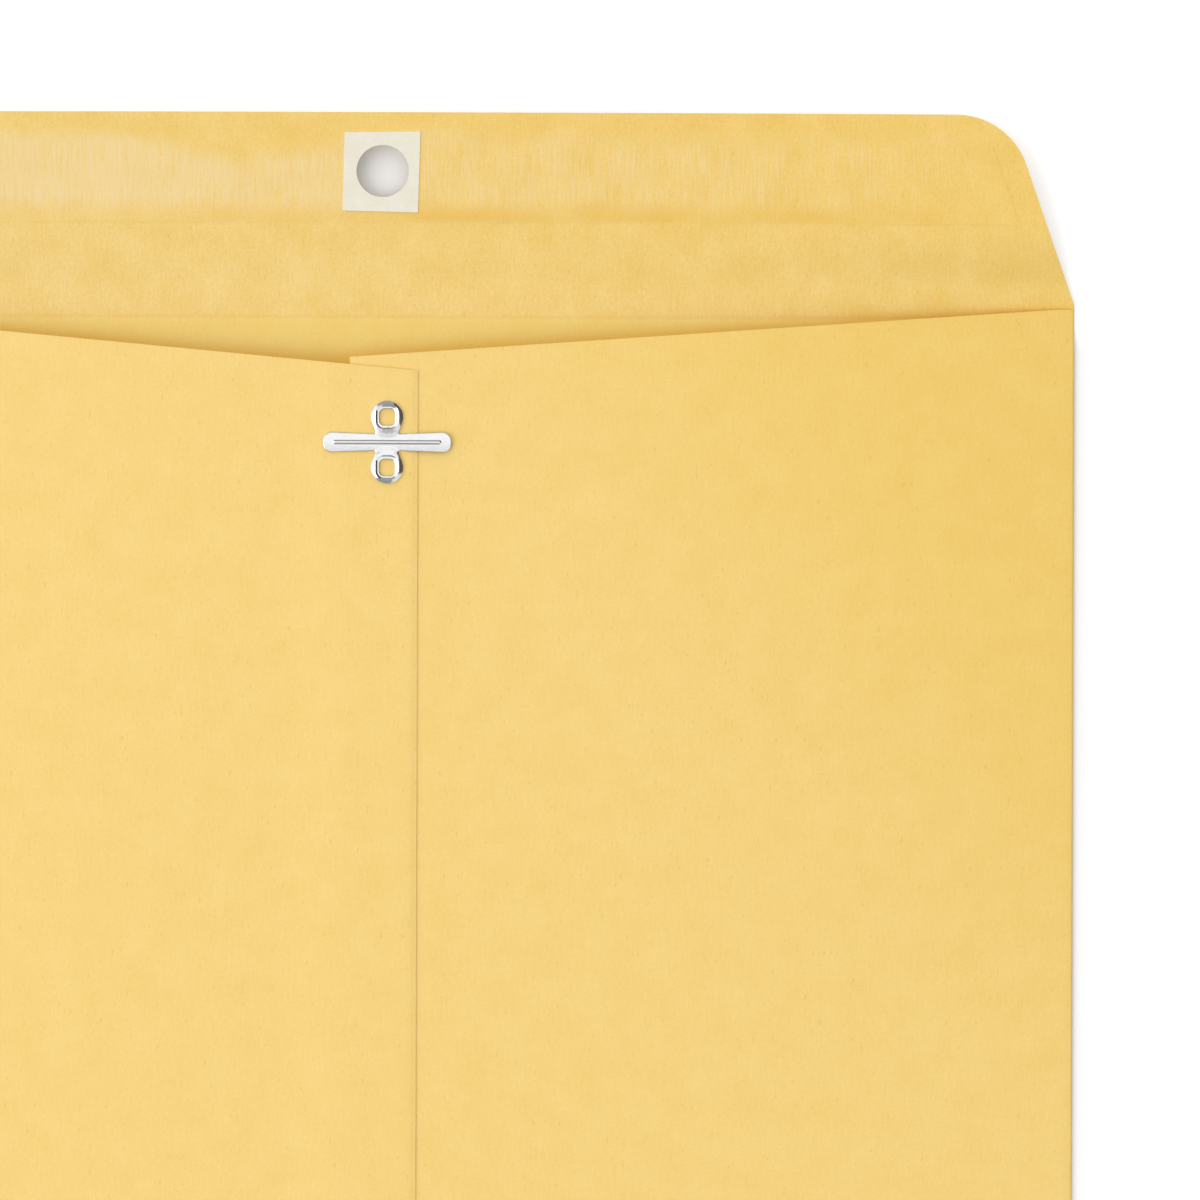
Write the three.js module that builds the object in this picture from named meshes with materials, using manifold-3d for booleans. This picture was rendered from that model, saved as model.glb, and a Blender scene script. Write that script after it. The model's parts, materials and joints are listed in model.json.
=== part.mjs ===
// A clasp envelope of kraft paper, lying on its address side with the seal flap open.
// Millimetres. X runs across the envelope, Y along it towards the flap, Z up.
// The origin is the middle of the address face, on the surface that the envelope lies on.
import * as THREE from "three";
import { mergeVertices } from "three/addons/utils/BufferGeometryUtils.js";
import Module from "manifold-3d";

// Paper blank: one sheet, folded along both sides and the bottom
const WIDTH = 254; // side fold to side fold
const LENGTH = 330.2; // bottom fold to flap fold
const PAPER = 0.2; // thickness of the sheet
const POCKET_DEPTH = 5.2; // clear height inside the mouth, at the middle
const CREASE_DEPTH = 0.4; // clear height left inside the folded edges
const BOW_POWER = 2.5; // how flat the pocket is across its middle
const BOW_RISE = 280; // from the bottom fold to where the pocket reaches its full depth
const SHEET_GAP = 0.06; // air or glue skin between two sheets that touch
const BUTT_GAP = 0.05; // between two panels that meet edge to edge at a fold

// Back panels: the left one lies over the right one along the centre seam
const LEFT_REACH = 6.1; // left panel's edge, past the middle
const RIGHT_REACH = 6.4; // right panel's edge, past the middle on the other side
const LEFT_SHOULDER = 7.8; // from the side fold to where the left panel's top edge starts to fall
const RIGHT_SHOULDER = 2.9;
const LEFT_THROAT_MARGIN = 5.5; // from the clasp up to the left panel's top corner at the seam
const RIGHT_THROAT_MARGIN = 8;
const SEAM_GLUE = 0.08; // thickness of the glue line
const SEAM_GLUE_MARGIN = 1.2; // from the glue line to the panels' edges
const STEP_RAMP = 5; // width over which a sheet climbs over the seam
const STEP_LEAD = 1; // from the foot of that climb to the edge it climbs over

// Bottom flap: folded up over the back panels and glued down
const BOTTOM_FLAP_HEIGHT = 28;
const BOTTOM_FLAP_INSET = 1.5; // from the side fold to the flap's shoulder
const BOTTOM_FLAP_SLOPE = 0.35; // how much each side runs in for each unit up
const BOTTOM_FLAP_RADIUS = 8;
const BOTTOM_FOLD_BULGE = 0.5; // how far the bottom fold stands out past the panels' ends
const BOTTOM_GLUE_INSET = 3; // from the flap's edges to the glue
const BOTTOM_GLUE_START = 5; // from the bottom fold to the glue
const PANEL_END_GAP = 0.3; // from the bottom fold to the back panels' ends

// Seal flap
const FLAP_LIFT = 7; // degrees that the open flap springs up from its crease
const FLAP_HEIGHT = 36.2;
const FLAP_SLOPE = 0.345; // how much each side runs in for each unit of height
const FLAP_SHOULDER = 0.9; // straight stretch above the fold before the side runs in
const FLAP_RADIUS = 13.7;
const FLAP_CURL = 2.4; // how much further the flap's two ends curl up
const FLAP_CURL_START = 16; // distance from the fold over which the curl builds up

// Gum strip, punched hole and its reinforcing patch
const GUM_MARGIN = 2.9; // from the gum to the flap's far edge
const GUM_WIDTH = 16.5;
const GUM_INSET = 5; // from the flap's sloping ends
const GUM_CORNER = 4;
const GUM = 0.05;
const HOLE_RADIUS = 4.83;
const HOLE_OFFSET = -1; // how far the hole is punched to one side of the clasp
const PATCH_WIDTH = 13.9;
const PATCH_HEIGHT = 14.9;
const PATCH = 0.2;
const PATCH_TURN = -1.2; // degrees that the patch is stuck askew
const PATCH_DROP = 0.15; // from the hole's middle down to the patch's

// Clasp, stamped from one strip of tinned steel
const METAL = 0.3;
const CLASP_X = 0.5; // from the envelope's middle
const CLASP_TO_EDGE = 11.35; // the flap's height less the clasp's distance from the fold
const CLASP_GAP = 0.1; // between the clasp and the paper under it
const NECK_WIDTH = 4.2;
const EAR_RADIUS = 3.05;
const EAR_SPACING = 9.3; // between the two ears' middles
const EAR_RISE = 0.6; // height of the ears' rounded crown
const EAR_HOLE_WIDTH = 2.86;
const EAR_HOLE_HEIGHT = 3.1;
const EAR_HOLE_RADIUS = 0.9;
const TOOTH_WIDTH = 1.4;
const TOOTH_REACH = 1.2; // how far a clinched tooth lies back under the paper
const SLIT_CLEARANCE = 0.15; // round each tooth where it goes through the paper
const BAR_LENGTH = 23.6; // tip to tip
const PRONG_END_WIDTH = 3.7;
const PRONG_ROOT_WIDTH = 3.1;
const NECK_TO_BEND = 0.4; // from the neck's side to the line that a prong bends on
const BEND_GAP = 0.3; // between base and prong, across the bend line
const RIB_WIDTH = 0.8;
const RIB_HEIGHT = 0.3;
const RIB_END = 1.6; // from the tip of a prong to the end of its rib
const RIB_SETBACK = 0.6; // from the bend line to the ribs, so that they clear when bent
const NECK_FILLET = 0.7;
const CLOSING_CLEARANCE = 0.3; // between the closed flap and the top of the clasp

// Fineness of the curved surfaces
const FOLD_STEPS = 6;
const PANEL_STEPS = 11;
const RAMP_STEPS = 3;
const LENGTH_STEPS = 13;
const FLAP_COLUMNS = 18;
const FLAP_ROWS = 5;
const CORNER_STEPS = 5;
const HOLE_STEPS = 32;
const EAR_STEPS = 24;
const CROWN_STEPS = 6;
const TIP_STEPS = 10;
const CURVE_STEPS = 4;

// Places and heights that follow from the sizes above
const foldY = LENGTH / 2;
const bottomY = -LENGTH / 2;
const creaseRadius = (PAPER + CREASE_DEPTH) / 2;
const creaseX = WIDTH / 2 - PAPER / 2 - creaseRadius;
const seamLift = PAPER + SEAM_GLUE + 2 * SHEET_GAP;
const bottomStartY = bottomY + PAPER / 2 + BOTTOM_FOLD_BULGE;
const panelEndY = bottomStartY + PANEL_END_GAP;
const claspY = foldY - (FLAP_HEIGHT - CLASP_TO_EDGE);
const earOffset = EAR_SPACING / 2;
const claspReach = earOffset + EAR_RADIUS;
const bendX = NECK_WIDTH / 2 + NECK_TO_BEND;
const prongTip = BAR_LENGTH / 2;
const gumStart = FLAP_HEIGHT - GUM_MARGIN - GUM_WIDTH;
const gumZ = PAPER + SHEET_GAP;
const patchZ = gumZ + GUM + SHEET_GAP;
const liftAngle = THREE.MathUtils.degToRad(FLAP_LIFT);

const wasm = await Module();
wasm.setup();

const mix = (from, to, share) => from + (to - from) * share;

function smooth(share) {
  const s = Math.min(1, Math.max(0, share));
  return s * s * (3 - 2 * s);
}

function spaced(from, to, steps) {
  return Array.from({ length: steps + 1 }, (_, i) => mix(from, to, i / steps));
}

// Clear height between the front panel and the back panels
function pocketGap(x, y) {
  const across = 1 - Math.min(1, Math.abs(x) / creaseX) ** BOW_POWER;
  const along = smooth((y - bottomY) / BOW_RISE);
  return CREASE_DEPTH + (POCKET_DEPTH - CREASE_DEPTH) * across * along;
}

// Height of a single back panel's upper face
function panelTop(x, y) {
  return PAPER + pocketGap(x, y) + PAPER;
}

// How much a sheet that lies over the seam's edge at x = -RIGHT_REACH is lifted there
function climbOntoSeam(x) {
  return seamLift * smooth((x + RIGHT_REACH + STEP_LEAD + STEP_RAMP) / STEP_RAMP);
}

// The same for a sheet that comes down again past the left panel's edge
function climbOverSeam(x) {
  const down = smooth((LEFT_REACH + STEP_LEAD + STEP_RAMP - x) / STEP_RAMP);
  return Math.min(climbOntoSeam(x), seamLift * down);
}

// How far the flap's ends curl up out of its own plane
function flapCurl(x, fromFold) {
  const across = (Math.abs(x) / (WIDTH / 2)) ** BOW_POWER;
  return FLAP_CURL * across * smooth(fromFold / FLAP_CURL_START);
}

// The clasp lies level on the highest paper under its base
const seatZ = Math.max(...[-claspReach, 0, claspReach].map((y) => panelTop(CLASP_X, claspY + y)));
const claspZ = seatZ + seamLift + CLASP_GAP;
const toothZ = panelTop(CLASP_X, claspY) - PAPER - CLASP_GAP - METAL;

// The flap turns on a line across the mouth, high enough to lie level on the clasp when closed,
// and its hole is punched where it then comes down over the clasp
const claspTop = claspZ + METAL + Math.max(EAR_RISE, RIB_HEIGHT);
const flapAxisZ = (claspTop + CLOSING_CLEARANCE + patchZ + PATCH) / (1 + Math.cos(liftAngle));
const holeX = CLASP_X + HOLE_OFFSET;
const holeFromFold = foldY - claspY + flapAxisZ * Math.sin(liftAngle);

// A closed solid from a grid of centre points and unit normals, given thickness
function sheetSolid(grid, thickness) {
  const rows = grid.length;
  const columns = grid[0].length;
  const corners = [];
  for (const side of [0.5, -0.5]) {
    for (const row of grid) {
      for (const { point, normal } of row) {
        corners.push(point.clone().addScaledVector(normal, side * thickness));
      }
    }
  }
  const at = (layer, row, column) => (layer * rows + row) * columns + column;
  const faces = [];
  const quad = (a, b, c, d) => faces.push(a, b, c, a, c, d);
  for (let r = 0; r + 1 < rows; r++) {
    for (let c = 0; c + 1 < columns; c++) {
      quad(at(0, r, c), at(0, r, c + 1), at(0, r + 1, c + 1), at(0, r + 1, c));
      quad(at(1, r, c), at(1, r + 1, c), at(1, r + 1, c + 1), at(1, r, c + 1));
    }
  }
  for (let c = 0; c + 1 < columns; c++) {
    quad(at(0, 0, c), at(1, 0, c), at(1, 0, c + 1), at(0, 0, c + 1));
    quad(at(0, rows - 1, c), at(0, rows - 1, c + 1), at(1, rows - 1, c + 1), at(1, rows - 1, c));
  }
  for (let r = 0; r + 1 < rows; r++) {
    quad(at(0, r, 0), at(0, r + 1, 0), at(1, r + 1, 0), at(1, r, 0));
    quad(at(0, r, columns - 1), at(1, r, columns - 1), at(1, r + 1, columns - 1), at(0, r + 1, columns - 1));
  }
  return solidOf(corners, faces);
}

// A manifold solid from points and triangles, turned so that its faces point out
function solidOf(corners, faces) {
  let volume = 0;
  for (let i = 0; i < faces.length; i += 3) {
    const [a, b, c] = [corners[faces[i]], corners[faces[i + 1]], corners[faces[i + 2]]];
    volume += a.dot(b.clone().cross(c));
  }
  const triVerts = new Uint32Array(volume < 0 ? faces.slice().reverse() : faces);
  const vertProperties = new Float32Array(corners.flatMap((p) => p.toArray()));
  return new wasm.Manifold(new wasm.Mesh({ numProp: 3, vertProperties, triVerts }));
}

// A manifold solid from one of three.js's own closed geometries
function solidFrom(geometry) {
  geometry.deleteAttribute("normal");
  geometry.deleteAttribute("uv");
  const merged = mergeVertices(geometry, 1e-4);
  const place = merged.attributes.position;
  const corners = Array.from({ length: place.count }, (_, i) =>
    new THREE.Vector3().fromBufferAttribute(place, i),
  );
  return solidOf(corners, Array.from(merged.index.array));
}

function extruded(shape, fromZ, toZ, steps = CURVE_STEPS) {
  const geometry = new THREE.ExtrudeGeometry(shape, {
    depth: toZ - fromZ,
    bevelEnabled: false,
    curveSegments: steps,
  });
  return solidFrom(geometry.translate(0, 0, fromZ));
}

function block(x, y, fromZ, toZ, width, height) {
  const geometry = new THREE.BoxGeometry(width, height, toZ - fromZ);
  return solidFrom(geometry.translate(x, y, (fromZ + toZ) / 2));
}

function roundHole(x, y, radius, fromZ, toZ) {
  const circle = new THREE.Shape().absarc(x, y, radius, 0, 2 * Math.PI);
  return extruded(circle, fromZ, toZ, HOLE_STEPS);
}

function rectangle(x, y, width, height, turn = 0) {
  const middle = new THREE.Vector2(x, y);
  const corner = (i, j) =>
    new THREE.Vector2(x + (i * width) / 2, y + (j * height) / 2).rotateAround(middle, turn);
  return new THREE.Shape([corner(-1, -1), corner(1, -1), corner(1, 1), corner(-1, 1)]);
}

function roundedRectangle(x, y, width, height, radius) {
  const [left, right] = [x - width / 2 + radius, x + width / 2 - radius];
  const [low, high] = [y - height / 2 + radius, y + height / 2 - radius];
  const quarter = Math.PI / 2;
  const shape = new THREE.Shape();
  shape.absarc(right, low, radius, -quarter, 0);
  shape.absarc(right, high, radius, 0, quarter);
  shape.absarc(left, high, radius, quarter, 2 * quarter);
  shape.absarc(left, low, radius, 2 * quarter, 3 * quarter);
  return shape;
}

function meshOf(name, solid, material) {
  const { vertProperties, triVerts } = solid.getMesh();
  const geometry = new THREE.BufferGeometry()
    .setAttribute("position", new THREE.BufferAttribute(new Float32Array(vertProperties), 3))
    .setIndex(new THREE.BufferAttribute(new Uint32Array(triVerts), 1));
  geometry.computeVertexNormals();
  const mesh = new THREE.Mesh(geometry, material);
  mesh.name = name;
  return mesh;
}

const kraft = new THREE.MeshStandardMaterial({ color: 0xf5d382, roughness: 0.85, metalness: 0 });
const gum = new THREE.MeshStandardMaterial({ color: 0xf2ce81, roughness: 0.35, metalness: 0 });
const glue = new THREE.MeshStandardMaterial({ color: 0xe8dcc0, roughness: 0.5, metalness: 0 });
const patchPaper = new THREE.MeshStandardMaterial({ color: 0xf0e9da, roughness: 0.8, metalness: 0 });
const tin = new THREE.MeshStandardMaterial({ color: 0xd9dadb, roughness: 0.2, metalness: 1 });

const up = new THREE.Vector3(0, 0, 1);

// A flap's outline as rows of distance from its fold and half width there:
// straight sides that run in, then a round corner up to the straight far edge
function flapRows(shoulder, height, slope, radius) {
  const run = Math.hypot(1, slope);
  const centreX = shoulder - slope * (height - radius) - radius * run;
  const startAngle = Math.atan(slope);
  const arc = spaced(startAngle, Math.PI / 2, CORNER_STEPS).map((angle) => ({
    along: height - radius + radius * Math.sin(angle),
    half: centreX + radius * Math.cos(angle),
  }));
  const straight = spaced(0, arc[0].along, FLAP_ROWS).map((along) => ({
    along,
    half: shoulder - slope * along,
  }));
  return straight.slice(0, -1).concat(arc);
}

// The profile of a side fold: half a turn from under the pocket to its upper side
function sideFoldProfile(side) {
  return spaced(-Math.PI / 2, Math.PI / 2, FOLD_STEPS).map((angle) => ({
    x: side * (creaseX + creaseRadius * Math.cos(angle)),
    heightAt: () => PAPER / 2 + creaseRadius * (1 + Math.sin(angle)),
    normal: new THREE.Vector3(side * Math.cos(angle), 0, Math.sin(angle)),
  }));
}

// A back panel with its side fold, from the front panel's edge round to the centre seam
function backPanel(side, stations, lift, topAt) {
  const panel = stations.map((x) => ({
    x,
    heightAt: (y) => panelTop(x, y) - PAPER / 2 + lift(x),
    normal: up,
  }));
  const profile = sideFoldProfile(side).concat(panel);
  const grid = profile.map(({ x, heightAt, normal }) =>
    spaced(panelEndY, topAt(x), LENGTH_STEPS).map((y) => ({
      point: new THREE.Vector3(x, y, heightAt(y)),
      normal,
    })),
  );
  return sheetSolid(grid, PAPER);
}

// The top edge of a back panel: level at the side fold, then straight down to the seam
function throatEdge(side, x, shoulder, reach, margin) {
  const start = WIDTH / 2 - shoulder;
  const share = Math.max(0, start - side * x) / (start + reach);
  return mix(foldY, claspY + claspReach + margin, share);
}

const leftTop = (x) => throatEdge(-1, x, LEFT_SHOULDER, LEFT_REACH, LEFT_THROAT_MARGIN);
const rightTop = (x) => throatEdge(1, x, RIGHT_SHOULDER, RIGHT_REACH, RIGHT_THROAT_MARGIN);

function rightBackPanel() {
  const shoulderX = WIDTH / 2 - RIGHT_SHOULDER;
  const stations = [shoulderX, ...spaced(shoulderX, -RIGHT_REACH, PANEL_STEPS).slice(1)];
  return backPanel(1, stations, () => 0, rightTop);
}

function leftBackPanel() {
  const shoulderX = -WIDTH / 2 + LEFT_SHOULDER;
  const foot = -RIGHT_REACH - STEP_LEAD - STEP_RAMP;
  const stations = [
    shoulderX,
    ...spaced(shoulderX, foot, PANEL_STEPS).slice(1),
    ...spaced(foot, foot + STEP_RAMP, RAMP_STEPS).slice(1),
    LEFT_REACH,
  ];
  return backPanel(-1, stations, climbOntoSeam, leftTop);
}

function centreSeamGlue() {
  const leftEdge = -RIGHT_REACH + SEAM_GLUE_MARGIN;
  const rightEdge = LEFT_REACH - SEAM_GLUE_MARGIN;
  const topY = leftTop(LEFT_REACH) - SEAM_GLUE_MARGIN;
  const grid = [leftEdge, rightEdge].map((x) =>
    spaced(panelEndY + SEAM_GLUE_MARGIN, topY, LENGTH_STEPS).map((y) => ({
      point: new THREE.Vector3(x, y, panelTop(x, y) + SHEET_GAP + SEAM_GLUE / 2),
      normal: up,
    })),
  );
  return sheetSolid(grid, SEAM_GLUE);
}

function frontPanel() {
  const halfWidth = creaseX - BUTT_GAP;
  const [low, high] = [bottomStartY + BUTT_GAP, foldY - BUTT_GAP];
  return block(0, (low + high) / 2, 0, PAPER, 2 * halfWidth, high - low);
}

// Columns for a sheet that crosses the seam, close together where it climbs
function acrossSeam(half) {
  const leftFoot = -RIGHT_REACH - STEP_LEAD - STEP_RAMP;
  const rightFoot = LEFT_REACH + STEP_LEAD + STEP_RAMP;
  const sideSteps = FLAP_COLUMNS / 3;
  return [
    ...spaced(-half, leftFoot, sideSteps),
    ...spaced(leftFoot, leftFoot + STEP_RAMP, RAMP_STEPS).slice(1),
    ...spaced(rightFoot - STEP_RAMP, rightFoot, RAMP_STEPS),
    ...spaced(rightFoot, half, sideSteps).slice(1),
  ];
}

// Height of a sheet that lies on both back panels, by its middle
function overPanels(x, y, above, thickness) {
  return panelTop(x, y) + climbOverSeam(x) + above + thickness / 2;
}

function bottomFlap() {
  const shoulder = WIDTH / 2 - BOTTOM_FLAP_INSET;
  const above = 2 * SHEET_GAP + SEAM_GLUE;
  const fold = spaced(-Math.PI / 2, Math.PI / 2, FOLD_STEPS).map((angle) =>
    acrossSeam(shoulder).map((x) => {
      const top = overPanels(x, bottomStartY, above, PAPER);
      const radius = (top - PAPER / 2) / 2;
      return {
        point: new THREE.Vector3(
          x,
          bottomStartY - BOTTOM_FOLD_BULGE * Math.cos(angle),
          PAPER / 2 + radius * (1 + Math.sin(angle)),
        ),
        normal: new THREE.Vector3(0, -Math.cos(angle), Math.sin(angle)),
      };
    }),
  );
  const height = BOTTOM_FLAP_HEIGHT - (bottomStartY - bottomY);
  const outline = flapRows(shoulder, height, BOTTOM_FLAP_SLOPE, BOTTOM_FLAP_RADIUS);
  const panel = outline.slice(1).map(({ along, half }) =>
    acrossSeam(half).map((x) => {
      const y = bottomStartY + along;
      return { point: new THREE.Vector3(x, y, overPanels(x, y, above, PAPER)), normal: up };
    }),
  );
  return sheetSolid(fold.concat(panel), PAPER);
}

function bottomFlapGlue() {
  const shoulder = WIDTH / 2 - BOTTOM_FLAP_INSET - BOTTOM_GLUE_INSET;
  const start = BOTTOM_GLUE_START;
  const height = BOTTOM_FLAP_HEIGHT - BOTTOM_GLUE_INSET - start;
  const outline = flapRows(
    shoulder - BOTTOM_FLAP_SLOPE * start,
    height,
    BOTTOM_FLAP_SLOPE,
    BOTTOM_FLAP_RADIUS - BOTTOM_GLUE_INSET,
  );
  const grid = outline.map(({ along, half }) =>
    acrossSeam(half).map((x) => {
      const y = bottomY + start + along;
      return { point: new THREE.Vector3(x, y, overPanels(x, y, SHEET_GAP, SEAM_GLUE)), normal: up };
    }),
  );
  return sheetSolid(grid, SEAM_GLUE);
}

// A sheet on the flap, following its curl. The flap's own plane has its fold at y = 0
function onFlap(rows, bottomZ, thickness) {
  const grid = rows.map(({ along, half }) =>
    spaced(-half, half, FLAP_COLUMNS).map((x) => ({
      point: new THREE.Vector3(x, along, bottomZ + thickness / 2 + flapCurl(x, along)),
      normal: up,
    })),
  );
  return sheetSolid(grid, thickness);
}

function punched(solid) {
  return solid.subtract(roundHole(holeX, holeFromFold, HOLE_RADIUS, -PAPER, patchZ + 2 * PATCH));
}

function sealFlap() {
  const height = FLAP_HEIGHT - FLAP_SHOULDER;
  const outline = flapRows(WIDTH / 2, height, FLAP_SLOPE, FLAP_RADIUS);
  const rows = outline.map(({ along, half }) => ({ along: along + FLAP_SHOULDER, half }));
  rows.unshift({ along: BUTT_GAP, half: WIDTH / 2 });
  return punched(onFlap(rows, 0, PAPER));
}

function gumStrip() {
  const halfAt = (along) => WIDTH / 2 - FLAP_SLOPE * (along - FLAP_SHOULDER) - GUM_INSET;
  const outline = flapRows(halfAt(gumStart), GUM_WIDTH, FLAP_SLOPE, GUM_CORNER);
  const rows = outline.map(({ along, half }) => ({ along: along + gumStart, half }));
  return punched(onFlap(rows, gumZ, GUM));
}

function holePatch() {
  const turn = (PATCH_TURN * Math.PI) / 180;
  const outline = rectangle(holeX, holeFromFold - PATCH_DROP, PATCH_WIDTH, PATCH_HEIGHT, turn);
  return punched(extruded(outline, patchZ, patchZ + PATCH));
}

// An ear: a ring of sheet metal pressed up into a round crown
function ear(y) {
  const inner = Math.min(EAR_HOLE_WIDTH, EAR_HOLE_HEIGHT) / 2;
  const crown = (share) => EAR_RISE * Math.sin(Math.PI * share);
  const shares = spaced(0, 1, CROWN_STEPS);
  const radiusAt = (share) => mix(inner, EAR_RADIUS, share);
  const over = shares.map((s) => new THREE.Vector2(radiusAt(s), METAL + crown(s)));
  const under = shares.map((s) => new THREE.Vector2(radiusAt(s), crown(s))).reverse();
  const ring = new THREE.LatheGeometry([...under, ...over, under[0]], EAR_STEPS);
  return solidFrom(ring.rotateX(Math.PI / 2).translate(CLASP_X, y, claspZ));
}

// The four sides of an ear's hole, where a tooth turns down through the paper
function toothPlaces(y) {
  return [
    { x: CLASP_X + EAR_HOLE_WIDTH / 2, y, turn: 0 },
    { x: CLASP_X, y: y + EAR_HOLE_HEIGHT / 2, turn: Math.PI / 2 },
    { x: CLASP_X - EAR_HOLE_WIDTH / 2, y, turn: Math.PI },
    { x: CLASP_X, y: y - EAR_HOLE_HEIGHT / 2, turn: -Math.PI / 2 },
  ];
}

function turnedShape(points, place) {
  const origin = new THREE.Vector2(0, 0);
  return new THREE.Shape(
    points.map(([x, y]) =>
      new THREE.Vector2(x, y).rotateAround(origin, place.turn).add(new THREE.Vector2(place.x, place.y)),
    ),
  );
}

// A tooth: down through the slit in the paper, then clinched back under it to a point
function tooth(place) {
  const half = TOOTH_WIDTH / 2;
  const shank = [[0, -half], [METAL, -half], [METAL, half], [0, half]];
  const foot = [[0, -half], [METAL, -half], [METAL + TOOTH_REACH, 0], [METAL, half], [0, half]];
  return extruded(turnedShape(shank, place), toothZ, claspZ + METAL / 2).add(
    extruded(turnedShape(foot, place), toothZ, toothZ + METAL),
  );
}

// The slits in the paper and glue for one ear's teeth
function slits(y) {
  const half = TOOTH_WIDTH / 2 + SLIT_CLEARANCE;
  const [near, far] = [-SLIT_CLEARANCE, METAL + SLIT_CLEARANCE];
  const outline = [[near, -half], [far, -half], [far, half], [near, half]];
  return toothPlaces(y).map((place) => extruded(turnedShape(outline, place), toothZ - 1, claspZ + 1));
}

function slitForClasp(solid) {
  const cuts = [claspY - earOffset, claspY + earOffset].flatMap(slits);
  return cuts.reduce((rest, cut) => rest.subtract(cut), solid);
}

// The raised rib down the middle of the bar, with a round end
function rib(fromX, toX) {
  const shape = roundedRectangle((fromX + toX) / 2, claspY, toX - fromX, RIB_WIDTH, RIB_WIDTH / 2 - 0.01);
  const low = extruded(shape, claspZ + METAL / 2, claspZ + METAL + RIB_HEIGHT / 2);
  const crest = rectangle((fromX + toX) / 2, claspY, toX - fromX - RIB_WIDTH, RIB_WIDTH / 2);
  return low.add(extruded(crest, claspZ + METAL, claspZ + METAL + RIB_HEIGHT));
}

// Half the bar's width, growing from the middle of the clasp to the ends of its prongs
function barHalf(fromMiddle) {
  const share = (fromMiddle - bendX) / (prongTip - PRONG_END_WIDTH / 2 - bendX);
  return mix(PRONG_ROOT_WIDTH, PRONG_END_WIDTH, Math.max(0, share)) / 2;
}

// The middle of the bar and the neck up to both ears, with a fillet in each inner corner
function claspPlate() {
  const half = NECK_WIDTH / 2;
  const end = bendX - BEND_GAP / 2;
  const bar = PRONG_ROOT_WIDTH / 2;
  const reach = earOffset - EAR_HOLE_HEIGHT / 2 - METAL;
  const plate = extruded(rectangle(CLASP_X, claspY, 2 * half, 2 * reach), claspZ, claspZ + METAL).add(
    extruded(rectangle(CLASP_X, claspY, 2 * end, 2 * bar), claspZ, claspZ + METAL),
  );
  const corners = [[1, 1], [1, -1], [-1, 1], [-1, -1]];
  return corners.reduce((joined, [i, j]) => {
    const width = Math.min(NECK_FILLET, end - half);
    const corner = [
      new THREE.Vector2(CLASP_X + i * half, claspY + j * bar),
      new THREE.Vector2(CLASP_X + i * (half + width), claspY + j * bar),
      new THREE.Vector2(CLASP_X + i * half, claspY + j * (bar + NECK_FILLET)),
    ];
    return joined.add(extruded(new THREE.Shape(corner), claspZ, claspZ + METAL));
  }, plate);
}

function claspBase() {
  let solid = claspPlate();
  for (const y of [claspY - earOffset, claspY + earOffset]) {
    solid = solid.add(ear(y));
    const hole = roundedRectangle(CLASP_X, y, EAR_HOLE_WIDTH, EAR_HOLE_HEIGHT, EAR_HOLE_RADIUS);
    solid = solid.subtract(extruded(hole, claspZ - 1, claspZ + METAL + EAR_RISE + 1));
    for (const place of toothPlaces(y)) solid = solid.add(tooth(place));
  }
  const ribReach = bendX - RIB_SETBACK;
  return solid.add(rib(CLASP_X - ribReach, CLASP_X + ribReach));
}

function prong(side) {
  const root = bendX + BEND_GAP / 2;
  const endRadius = PRONG_END_WIDTH / 2;
  const arcX = prongTip - endRadius;
  const tip = spaced(-Math.PI / 2, Math.PI / 2, TIP_STEPS).map((angle) => [
    arcX + endRadius * Math.cos(angle),
    endRadius * Math.sin(angle),
  ]);
  const outline = [[root, -barHalf(root)], ...tip, [root, barHalf(root)]];
  const shape = new THREE.Shape(
    outline.map(([x, y]) => new THREE.Vector2(CLASP_X + side * x, claspY + y)),
  );
  const ribEnds = [bendX + RIB_SETBACK, prongTip - RIB_END].map((x) => CLASP_X + side * x);
  return extruded(shape, claspZ, claspZ + METAL).add(rib(Math.min(...ribEnds), Math.max(...ribEnds)));
}

const flap = new THREE.Group();
flap.position.y = foldY;
flap.rotation.x = liftAngle;
flap.add(
  meshOf("seal_flap", sealFlap(), kraft),
  meshOf("flap_gum_strip", gumStrip(), gum),
  meshOf("flap_hole_patch", holePatch(), patchPaper),
);

const envelope = new THREE.Group();
envelope.add(
  meshOf("front_panel", frontPanel(), kraft),
  meshOf("right_back_panel", slitForClasp(rightBackPanel()), kraft),
  meshOf("left_back_panel", slitForClasp(leftBackPanel()), kraft),
  meshOf("centre_seam_glue", slitForClasp(centreSeamGlue()), glue),
  meshOf("bottom_flap", bottomFlap(), kraft),
  meshOf("bottom_flap_glue", bottomFlapGlue(), glue),
  meshOf("clasp_base", claspBase(), tin),
  meshOf("clasp_left_prong", prong(-1), tin),
  meshOf("clasp_right_prong", prong(1), tin),
  flap,
);

// A point on the line that each moving part turns on
envelope.userData.axes = {
  flap: [0, foldY, flapAxisZ],
  leftProng: [CLASP_X - bendX, claspY, claspZ + METAL / 2],
  rightProng: [CLASP_X + bendX, claspY, claspZ + METAL / 2],
};

export default envelope;
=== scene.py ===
# A clasp envelope of kraft paper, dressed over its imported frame.
# Sizes here are in millimetres, as in the solid model, and each mesh is made in metres.
import json
import math

import bpy
import numpy as np
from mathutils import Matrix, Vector, geometry


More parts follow.
